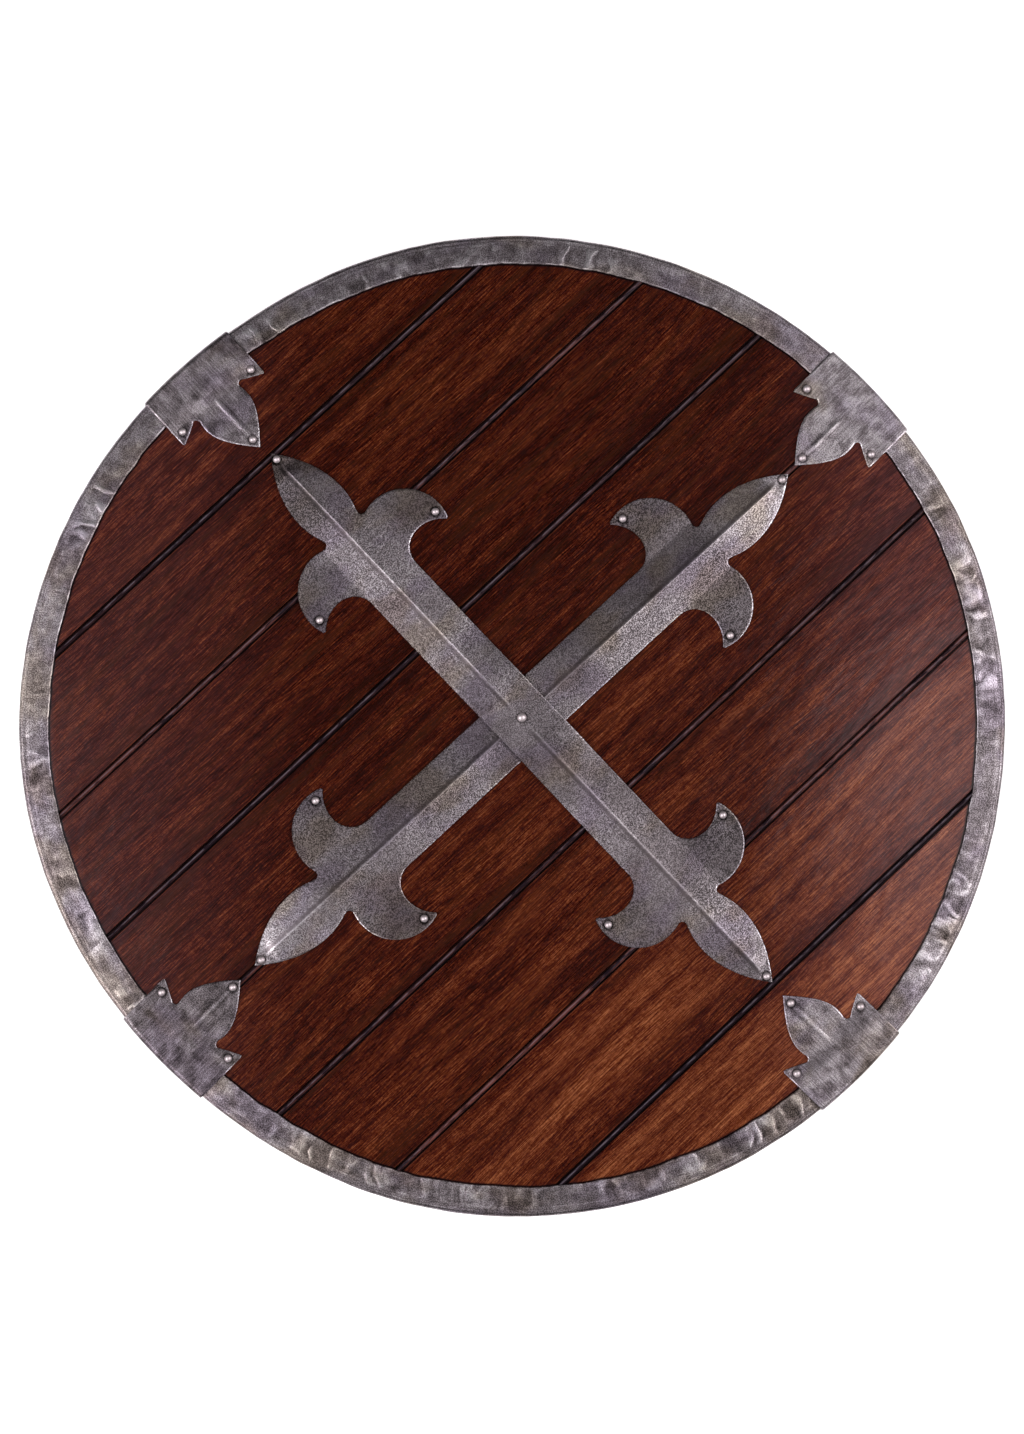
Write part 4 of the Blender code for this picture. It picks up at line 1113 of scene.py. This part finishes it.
def stained_mahogany(tree, place, board, tone, stain, bead, bead_side, own_bead_tone, arris, joint,
                     rim_near):
    """Mahogany boards, stained dark by hand and lacquered. Fine dark pores and fibres run along them
    under a satin sheen and show less where the stain is deep. It is darker beside the joints, and each
    board took it differently. A pinkish painted sheen at two sides stands for the lights' reflection in
    the lacquer, each bead has a painted highlight along its crown, and a painted shadow line, with a
    little dirt, runs along the rim."""
    own = add_node(tree, "CombineXYZ", {"X": times(tree, board, 3.7), "Y": times(tree, board, 0.31)})
    shifted = add_node(tree, "VectorMath", {0: place, 1: own.outputs[0]}, operation="ADD").outputs[0]
    sway = patches(tree, shifted, (260, 50), 0, 1, seed=1, detail=1)
    swayed = add_node(tree, "CombineXYZ", {"Y": times(tree, sway, 9 * MM)})
    grain = add_node(tree, "VectorMath", {0: shifted, 1: swayed.outputs[0]}, operation="ADD").outputs[0]

    bands = patches(tree, grain, (220, 12), 0.35, 0.65, seed=2)
    clouds = patches(tree, grain, (120, 14), 0.38, 0.64, seed=4, detail=1.5)
    blotches = patches(tree, grain, (130, 7), 0.44, 0.66, seed=3, detail=1)
    amber = patches(tree, grain, (90, 8), 0.46, 0.68, seed=18, detail=1.5)
    smudges = patches(tree, grain, (22, 4), 0.4, 0.7, seed=13)
    streaks = patches(tree, grain, (110, 2.4), 0.36, 0.64, seed=14, detail=1)
    fibres = patches(tree, grain, (26, 0.45), 0.36, 0.64, seed=5)
    fine = patches(tree, grain, (9, 0.34), 0.38, 0.62, seed=6, detail=1)
    specks = patches(tree, grain, (1.6, 0.55), 0.42, 0.62, seed=17, detail=1)
    flecks = patches(tree, grain, (12, 0.5), 0.56, 0.68, seed=7, detail=1)
    pores = patches(tree, grain, (6, 0.7), 0.58, 0.66, seed=8, detail=1)
    chatter = patches(tree, shifted, (1.5, 9), 0.4, 0.7, seed=9, detail=1)
    broken = patches(tree, grain, (40, 6), 0.3, 0.55, seed=10)
    stained = add_up(tree, tone, (bands, 0.1), (clouds, 0.1), (blotches, -0.1), (smudges, -0.03),
                     (times(tree, stain, broken), -0.2))
    lines = add_up(tree, 0.22, (streaks, -0.04), (fibres, -0.11), (fine, -0.22), (specks, -0.1),
                   (flecks, 0.08), (pores, -0.1), (chatter, -0.05))
    showing = add_node(tree, "MapRange", {"Value": stained, "From Min": 0.15, "From Max": 0.6,
                                          "To Min": 1.9, "To Max": 1.35}).outputs[0]
    depth = add_up(tree, stained, (times(tree, showing, lines), 1.0))
    wood = add_node(tree, "ValToRGB", {"Fac": depth}, stops=WOOD_TONES).outputs[0]
    # A painted sheen: pinkish light laid on towards two opposite sides of the shield, a painted reflection of
    # the lights in the lacquer.
    aside = add_node(tree, "VectorMath", {0: place, 1: (math.sqrt(0.5), -math.sqrt(0.5), 0)},
                     operation="DOT_PRODUCT").outputs["Value"]
    painted_sheen_sides = [add_node(tree, "MapRange", {"Value": aside, "From Min": start, "From Max": end,
                                          "To Max": amount}, interpolation_type="SMOOTHSTEP").outputs[0]
              for start, end, amount in ((0.14, 0.26, 0.8), (-0.12, -0.25, 0.45))]
    painted_sheen = times(tree, add_up(tree, painted_sheen_sides[0], (painted_sheen_sides[1], 1.0)), add_up(tree, 1.25, (fine, -0.6)))

    bead_wear = patches(tree, grain, (60, 40), 0.35, 0.65, seed=11)
    knocks = patches(tree, shifted, (8, 1.6), 0.42, 0.62, seed=15)
    mottled = add_up(tree, 0.55, (bead_wear, 0.6), (knocks, -0.6), (fine, -0.3), (specks, -0.2))
    bead_tone = add_node(tree, "Math", {0: own_bead_tone, 1: mottled}, operation="MULTIPLY",
                         use_clamp=True).outputs[0]
    # A painted highlight along one side of each bead's crown, a painted reflection of the lights.
    painted_bead_highlight = times(tree, line_along(tree, bead_side, 0.15, 0.42),
                  add_up(tree, 0.52, (bead_tone, -0.15), (knocks, -0.42), (fine, -0.2)))
    bead_colour = lay_colours(tree, linear("1c1419"), (bead_tone, "74443c", "MIX"),
                              (painted_bead_highlight, "8a7e8a", "MIX"))
    crown = add_node(tree, "MapRange", {"Value": bead, "From Min": 0.1, "From Max": 0.42},
                     interpolation_type="SMOOTHSTEP").outputs[0]
    rubbed = times(tree, arris, patches(tree, grain, (22, 9), 0.45, 0.65, 0.6, 16))
    gap = add_node(tree, "MapRange", {"Value": joint, "From Min": 0.1, "From Max": 0.55}).outputs[0]
    # A painted shadow along the rim's inner edge, with a little dirt gathered there: the boards turn near
    # black beside the rim.
    dirt = add_node(tree, "MapRange", {"Value": rim_near, "From Min": 0.5 * MM, "From Max": 1.6 * MM,
                                       "To Min": 1.0, "To Max": 0.0}).outputs[0]
    boards = lay_colours(tree, wood, (amber, "1e0e04", "ADD"), (painted_sheen, "3e2a2c", "ADD"),
                         (rubbed, "6e3622", "MIX"), (dirt, "0c0405", "MIX"), (gap, "080505", "MIX"))
    colour = add_node(tree, "Mix", {0: crown, 6: boards, 7: bead_colour}, data_type="RGBA").outputs[2]
    knocked = times(tree, bead, knocks)
    waves = patches(tree, shifted, (30, 14), 0.3, 0.7, seed=12)
    return {
        "Base Color": colour, "Specular IOR Level": 0.12, "Specular Tint": linear("e89cac"),
        "Roughness": add_up(tree, 0.24, (fibres, 0.08), (pores, 0.2), (clouds, -0.04)),
        "Normal": raised(tree, (fibres, -0.03), (pores, -0.05), (fine, -0.015), (chatter, -0.01),
                         (knocked, -0.05), (waves, 0.12)),
        "Coat Weight": add_up(tree, 0.62, (gap, -0.45)), "Coat Roughness": 0.16,
        "Coat Normal": raised(tree, (fibres, -0.004), (chatter, -0.004), (knocked, -0.05), (waves, 0.1))}


def steel(tree, place, shine, scaled, seed, roughness, *heights):
    """Mild steel, brushed bright in places after blacking, with a little olive and violet in its greys.
    scaled is how dark its patches of scale are."""
    scale = patches(tree, place, (22, 13), 0.45, 0.68, seed=seed)
    olive = patches(tree, place, (48, 30), 0.45, 0.62, seed=seed + 1)
    violet = patches(tree, place, (36, 26), 0.45, 0.62, seed=seed + 2)
    brushed = add_up(tree, shine, (scale, -scaled))
    greys = add_node(tree, "ValToRGB", {"Fac": brushed}, stops=STEEL_TONES).outputs[0]
    colour = lay_colours(tree, greys, (olive, "efe9da", "MULTIPLY"), (violet, "efebf5", "MULTIPLY"))
    return {"Base Color": colour, "Roughness": roughness, "Normal": raised(tree, *heights),
            "Metallic": 1.0}


def stippled_steel(tree, place, across, ridge, brushed, worn, grime):
    """Steel plate stippled all over with a fine punch, blacked and brushed back. The stipple glints in
    light specks on a dark ground. The cut edges carry a painted highlight line on the side that faces the
    lights and a painted shade line on the other, the ridge is rubbed bright under a painted highlight line
    with a painted shade strip on its shaded side, and one slope of the roof is painted lighter than the
    other as light and shade. The stipple is drawn at 0.74 mm, coarser than the punch's 0.4 mm, so that it
    shows."""
    punched = patches(tree, place, (0.74, 0.74), 0.4, 0.6, seed=1, detail=1.5)
    # The ridge is rubbed bright under a painted highlight line, and beside it on the shaded side a painted
    # shade strip leaves the stipple out.
    crest = times(tree, line_along(tree, across, 0.15 * MM, 0.95 * MM), ridge)
    strip = times(tree, line_along(tree, across, 2 * MM, 2 * MM), ridge)
    rubbed = patches(tree, place, (60, 45), 0.4, 0.6, seed=4)
    stipple = times(tree, punched, add_up(tree, 1.0, (strip, -0.7), (crest, -0.5), (rubbed, -0.3)))
    coarse = patches(tree, place, (2.6, 2.6), 0.35, 0.7, seed=2, detail=2)
    broad = patches(tree, place, (30, 24), 0.4, 0.65, seed=3)
    shine = add_up(tree, 0.28, (stipple, 0.46), (coarse, 0.08), (broad, 0.04), (rubbed, 0.04),
                   (brushed, 1.0), (crest, 0.36), (worn, 0.2), (grime, -0.4))
    roughness = add_up(tree, 0.45, (stipple, -0.08), (worn, -0.08))
    return steel(tree, place, shine, 0.05, 20, roughness, (stipple, 0.05), (coarse, 0.05))


def hammered_steel(tree, place, worn, polish, foot):
    """Steel strip hammered over the boards' edge and brushed. Along some stretches the hammer left dark
    dents side by side, with thin bright crests between them that run in towards the middle of the shield.
    The rest is an even speckled grey, its grit drawn at 0.74 mm, coarser than 0.4 mm, so that it shows.
    The inner edge is chipped bright, and its foot against the boards is painted darker as shade. Round
    the rim the steel is painted lighter and darker as light and shade, every 30 degrees."""
    run = add_node(tree, "SeparateXYZ", {0: place}).outputs["Y"]
    inner = add_node(tree, "MapRange", {"Value": run, "From Min": 3 * MM, "From Max": 6.5 * MM},
                     interpolation_type="SMOOTHSTEP").outputs[0]
    outer = add_up(tree, 1.0, (inner, -1.0))
    sway = patches(tree, place, (17, 14), 0.2, 0.8, seed=1, detail=1)
    bent = add_node(tree, "CombineXYZ", {"X": times(tree, sway, 9 * MM)})
    dented = add_node(tree, "VectorMath", {0: place, 1: bent.outputs[0]}, operation="ADD").outputs[0]
    struck = add_node(tree, "Mapping", {"Vector": dented, "Location": BLOWS_START,
                                        "Scale": [1 / (spacing * MM) for spacing in BLOWS]})
    from_crest = add_node(tree, "TexVoronoi", {"Vector": struck.outputs[0], "Scale": 1.0},
                          feature="DISTANCE_TO_EDGE").outputs["Distance"]
    hammered = times(tree, patches(tree, place, (48, 60), 0.42, 0.62, seed=8, detail=1),
                     patches(tree, place, (9, 14), 0.35, 0.6, seed=11, detail=1), inner)
    crests, hollows = (
        times(tree, hammered, add_node(tree, "MapRange", {"Value": from_crest, "From Min": start,
                                                          "From Max": end},
                                       interpolation_type="SMOOTHSTEP").outputs[0])
        for start, end in ((0.19, 0.03), (0.14, 0.24)))
    brushed = patches(tree, place, (0.9, 6), 0.38, 0.66, seed=2, detail=2)
    grit = patches(tree, place, (0.74, 0.74), 0.4, 0.6, seed=3, detail=1.5)
    smears = times(tree, inner, patches(tree, place, (5, 9), 0.48, 0.7, seed=4, detail=2))
    mottled = patches(tree, place, (9, 5), 0.36, 0.64, seed=10, detail=4)
    drawn = patches(tree, place, (30, 0.9), 0.4, 0.66, seed=6, detail=2)
    broad = patches(tree, place, (60, 20), 0.35, 0.65, seed=5)
    speckled = add_up(tree, 0.0, (grit, 0.34), (brushed, 0.08))
    edge_line = times(tree, line_along(tree, run, 5.5 * MM, 1 * MM),
                      patches(tree, place, (40, 6), 0.35, 0.6, seed=7))
    chipped = times(tree, worn, patches(tree, place, (5, 4), 0.42, 0.6, seed=9, detail=1))
    # Round the rim the steel is painted lighter and darker as light and shade, and the foot of the inner edge
    # carries painted shade.
    shine = add_up(tree, 0.28, (speckled, 1.0), (times(tree, outer, drawn), 0.16), (crests, 0.36),
                   (hollows, -0.22), (smears, 0.15), (mottled, 0.14), (broad, 0.06), (edge_line, 0.12),
                   (polish, 1.0), (chipped, 0.35), (foot, -0.7))
    roughness = add_up(tree, 0.42, (hollows, 0.06), (crests, -0.06))
    return steel(tree, place, shine, 0.08, 30, roughness, (speckled, 0.1), (drawn, 0.02), (crests, 0.2))


def ground_steel(tree, place, bend, polish, crease, worn, grime):
    """Steel plate ground with a coarse disc towards the middle of the shield. Scratches run that way
    over a mottled grey, the pointed end is stippled more, and the edges are worn bright. The crease is
    rubbed bright under a painted highlight, the bend is painted darker as shade, and each clamp has its
    own lightness."""
    scratches = patches(tree, place, (0.5, 11), 0.4, 0.64, seed=1, detail=2)
    smears = patches(tree, place, (7, 10), 0.42, 0.7, seed=2, detail=3)
    dull = patches(tree, place, (8, 9), 0.5, 0.64, seed=4, detail=1)
    run = add_node(tree, "SeparateXYZ", {0: place}).outputs["Y"]
    leaf = add_node(tree, "MapRange", {"Value": run, "From Min": -30 * MM, "From Max": -42 * MM},
                    interpolation_type="SMOOTHSTEP").outputs[0]
    grit = patches(tree, place, (0.7, 0.7), 0.4, 0.6, seed=3, detail=2)
    stipple = times(tree, grit, add_up(tree, 0.3, (leaf, 0.1)))
    scraped = times(tree, scratches, add_up(tree, 0.2, (leaf, -0.1)))
    # The crease carries a painted highlight and the bend painted shade; each clamp has its own lightness.
    shine = add_up(tree, 0.3, (stipple, 1.0), (scraped, 1.0), (smears, 0.13), (dull, -0.16), (bend, -0.06),
                   (polish, 1.0), (crease, 0.2), (worn, 0.1), (grime, -0.4))
    roughness = add_up(tree, 0.45, (scratches, -0.1), (worn, -0.08))
    return steel(tree, place, shine, 0.14, 40, roughness, (grit, 0.04), (scratches, -0.02), (smears, 0.05))


def polished_steel(tree, place):
    """Forged steel nail heads, filed and rubbed satin bright, with a few dull specks left."""
    specks = patches(tree, place, (1.1, 1.1), 0.5, 0.7, seed=1, detail=2)
    return {"Base Color": lay_colours(tree, linear("e8dade"), (times(tree, specks, 0.5), "a09a98", "MIX")),
            "Roughness": add_up(tree, 0.47, (specks, 0.1)), "Normal": raised(tree, (specks, -0.03)),
            "Metallic": 0.75}


def oiled_hardwood(tree, place):
    """Sawn hardwood battens, oiled and handled. Straight grain runs along them, the saw left faint
    ridges across it, and dirt darkens them in patches."""
    grain = add_node(tree, "VectorRotate", {"Vector": place, "Angle": math.pi / 2},
                     rotation_type="Z_AXIS").outputs[0]
    bands = patches(tree, grain, (260, 7), 0.35, 0.65, seed=1)
    fibres = patches(tree, grain, (24, 1.0), 0.38, 0.62, seed=2)
    pores = patches(tree, grain, (6, 0.8), 0.58, 0.68, seed=3, detail=1)
    dirt = patches(tree, place, (60, 40), 0.45, 0.7, seed=4)
    saw = patches(tree, grain, (2.2, 60), 0.4, 0.6, seed=5, detail=1)
    depth = add_up(tree, 0.72, (bands, 0.12), (fibres, -0.16), (pores, -0.16), (dirt, -0.2), (saw, -0.05))
    return {"Base Color": add_node(tree, "ValToRGB", {"Fac": depth}, stops=BATTEN_TONES).outputs[0],
            "Roughness": add_up(tree, 0.55, (dirt, 0.12), (pores, 0.1)), "Specular IOR Level": 0.3,
            "Normal": raised(tree, (fibres, -0.04), (pores, -0.05), (saw, 0.06))}


def tanned_leather(tree, place, gripped, worn, grime):
    """Vegetable-tanned leather straps, dyed brown. A pebbled grain covers them, hands have polished and
    darkened the middle, and the cut edges are burnished nearly black."""
    pebbles = add_node(tree, "TexVoronoi", {"Vector": place, "Scale": 1 / (1.3 * MM)}).outputs["Distance"]
    mottle = patches(tree, place, (14, 9), 0.4, 0.65, seed=1)
    creases = patches(tree, place, (1.1, 14), 0.56, 0.64, seed=2, detail=2)
    scuffs = patches(tree, place, (9, 1.2), 0.6, 0.7, seed=3)
    depth = add_up(tree, 0.62, (mottle, -0.18), (pebbles, -0.16), (creases, -0.2), (scuffs, 0.14),
                   (gripped, -0.16), (worn, -0.5), (grime, -0.2))
    return {"Base Color": add_node(tree, "ValToRGB", {"Fac": depth}, stops=LEATHER_TONES).outputs[0],
            "Roughness": add_up(tree, 0.52, (pebbles, 0.12), (gripped, -0.12), (scuffs, 0.15)),
            "Normal": raised(tree, (pebbles, -0.12), (creases, -0.1), (mottle, 0.1))}


def turned_steel(tree, place):
    """Turned steel screws, dulled and tarnished yellowish by handling, with small dark specks."""
    specks = patches(tree, place, (1.4, 1.4), 0.45, 0.7, seed=1, detail=2)
    tarnish = patches(tree, place, (5, 5), 0.4, 0.65, seed=2)
    colour = lay_colours(tree, linear("b4acab"), (times(tree, specks, 0.6), "6c6260", "MIX"),
                         (times(tree, tarnish, 0.6), "c8b090", "MULTIPLY"))
    return {"Base Color": colour, "Roughness": add_up(tree, 0.36, (specks, 0.2)),
            "Normal": raised(tree, (specks, -0.03)), "Metallic": 1.0}


def white_acrylic(tree, place):
    """A matt white acrylic floor, lit a little from beneath, so that it shows hardly any shadow."""
    uneven = patches(tree, place, (400, 400), 0.4, 0.7, share=0.2)
    return {"Base Color": lay_colours(tree, linear("f8f8f8"), (uneven, "f2f2f2", "MIX")), "Roughness": 0.9,
            "Emission Color": (1, 1, 1, 1), "Emission Strength": 0.65}


def white_paper(tree, place):
    """Seamless white paper, lit evenly. A faint unevenness is left in its tone."""
    uneven = patches(tree, place, (900, 700), 0.3, 0.7, seed=1)
    colour = lay_colours(tree, linear("ffffff"), (uneven, "fdfdfd", "MIX"))
    return {"Base Color": colour, "Roughness": 0.9, "Emission Color": colour, "Emission Strength": 1.0}


# ---------------------------------------------------------------- studio

CAMERA_DISTANCE = 2.472
CAMERA_TILT = math.radians(5.5)  # from straight above, towards -X
VIEW_UP = math.radians(46.9)  # where the view's upward direction points on the shield
AIM = Vector((-0.6 * MM, 4.9 * MM, BOARD_FACE))
LENS = 99.94
SENSOR = 36
FLOOR_WIDTH = 8
BACKDROP_RADIUS = 3.9
BACKDROP_HEIGHT = 6
AIR = ((0.9, 0.95, 1, 1), 0.02)  # colour and strength of the light from all round
# Name, azimuth, elevation, distance, size, power and colour. Azimuth is counted from the view's right
LIGHTS = (
    ("soft_box_left", 205, 45, 2.8, (2.3, 2.0), 66, (1.0, 0.98, 0.98)),
    ("soft_box_right", 0, 45, 2.8, (2.3, 2.0), 54, (1.0, 0.98, 0.98)),
    ("high_card_left", 190, 70, 2.0, (0.6, 0.6), 1.7, (0.95, 0.92, 1.0)),
    ("high_card_right", 2, 70, 2.0, (0.35, 0.35), 0.8, (1.0, 0.94, 0.97)),
)


def make_camera():
    data = bpy.data.cameras.new("camera")
    data.lens = LENS
    data.sensor_width = SENSOR
    camera = add_object("camera", data)
    place = Vector((-math.sin(CAMERA_TILT), 0, math.cos(CAMERA_TILT))) * CAMERA_DISTANCE
    place.z += BOARD_FACE
    back = (place - AIM).normalized()
    up = Vector((math.cos(VIEW_UP), math.sin(VIEW_UP), 0))
    up = (up - back * up.dot(back)).normalized()
    right = up.cross(back)
    camera.matrix_world = Matrix.Translation(place) @ Matrix((right, up, back)).transposed().to_4x4()
    bpy.context.scene.camera = camera


def make_light(name, azimuth, elevation, distance, size, power, colour):
    """A soft box that faces the shield."""
    data = bpy.data.lights.new(name, "AREA")
    data.shape = "RECTANGLE"
    data.size, data.size_y = size
    data.energy = power
    data.color = colour
    light = add_object(name, data)
    turn = VIEW_UP - math.pi / 2 + math.radians(azimuth)
    lift = math.radians(elevation)
    away = Vector((math.cos(turn) * math.cos(lift), math.sin(turn) * math.cos(lift), math.sin(lift)))
    light.location = away * distance
    light.rotation_mode = "QUATERNION"
    light.rotation_quaternion = away.to_track_quat("Z", "Y")


def make_backdrop():
    """Pale paper round the studio. It is seen from low down, and neither lights nor reflects."""
    bpy.ops.object.select_all(action="DESELECT")
    bpy.ops.mesh.primitive_cylinder_add(vertices=96, radius=BACKDROP_RADIUS, depth=BACKDROP_HEIGHT,
                                        end_fill_type="NOTHING", location=(0, 0, BACKDROP_HEIGHT / 2))
    backdrop = bpy.context.object
    backdrop.name = "backdrop"
    edit(backdrop)
    bpy.ops.mesh.flip_normals()
    leave_edit()
    bpy.ops.object.transform_apply(location=True)
    backdrop.data.materials.append(new_finish("white_backdrop_paper", white_paper))
    for rays in ("diffuse", "glossy", "transmission", "volume_scatter", "shadow"):
        setattr(backdrop, f"visible_{rays}", False)
    return backdrop


def make_studio():
    bpy.ops.mesh.primitive_plane_add(size=FLOOR_WIDTH)
    floor = bpy.context.object
    floor.name = "floor"
    floor.data.materials.append(new_finish("matt_white_floor", white_acrylic))
    backdrop = make_backdrop()
    world = bpy.data.worlds.new("studio_air")
    world.use_nodes = True
    air = world.node_tree.nodes["Background"].inputs
    air["Color"].default_value, air["Strength"].default_value = AIR
    bpy.context.scene.world = world
    for light in LIGHTS:
        make_light(*light)
    bpy.context.scene.view_settings.view_transform = "Standard"


# ---------------------------------------------------------------- the whole shield

bar_steel = new_finish("stippled_bar_steel", stippled_steel,
                       "across", "ridge", "brushed", "worn", "grime")

make_camera()
make_boards(new_finish("lacquered_mahogany", stained_mahogany, "board", "tone", "stain", "bead",
                       "bead_side", "bead_tone", "arris", "joint", "from_rim"))
make_rim(new_finish("hammered_rim_steel", hammered_steel, "worn", "polish", "foot", unrolled=True))
make_bar("cross_bar_under", UNDER_BAR, under_bar_height, bar_nail_spots(), UNDER_TONE_AND_SIDE_SHADE, bar_steel)
make_bar("cross_bar_over", OVER_BAR, over_bar_height, bar_nail_spots() + [(0, 0)], OVER_TONE_AND_SIDE_SHADE, bar_steel)
make_clamps(new_finish("ground_clamp_steel", ground_steel,
                       "bend", "polish", "crease", "worn", "grime", unrolled=True))
make_nails(new_finish("polished_nail_steel", polished_steel))
make_battens(new_finish("oiled_batten_wood", oiled_hardwood))
make_straps(new_finish("tanned_strap_leather", tanned_leather, "gripped", "worn", "grime"))
make_screws(new_finish("turned_screw_steel", turned_steel))
make_studio()
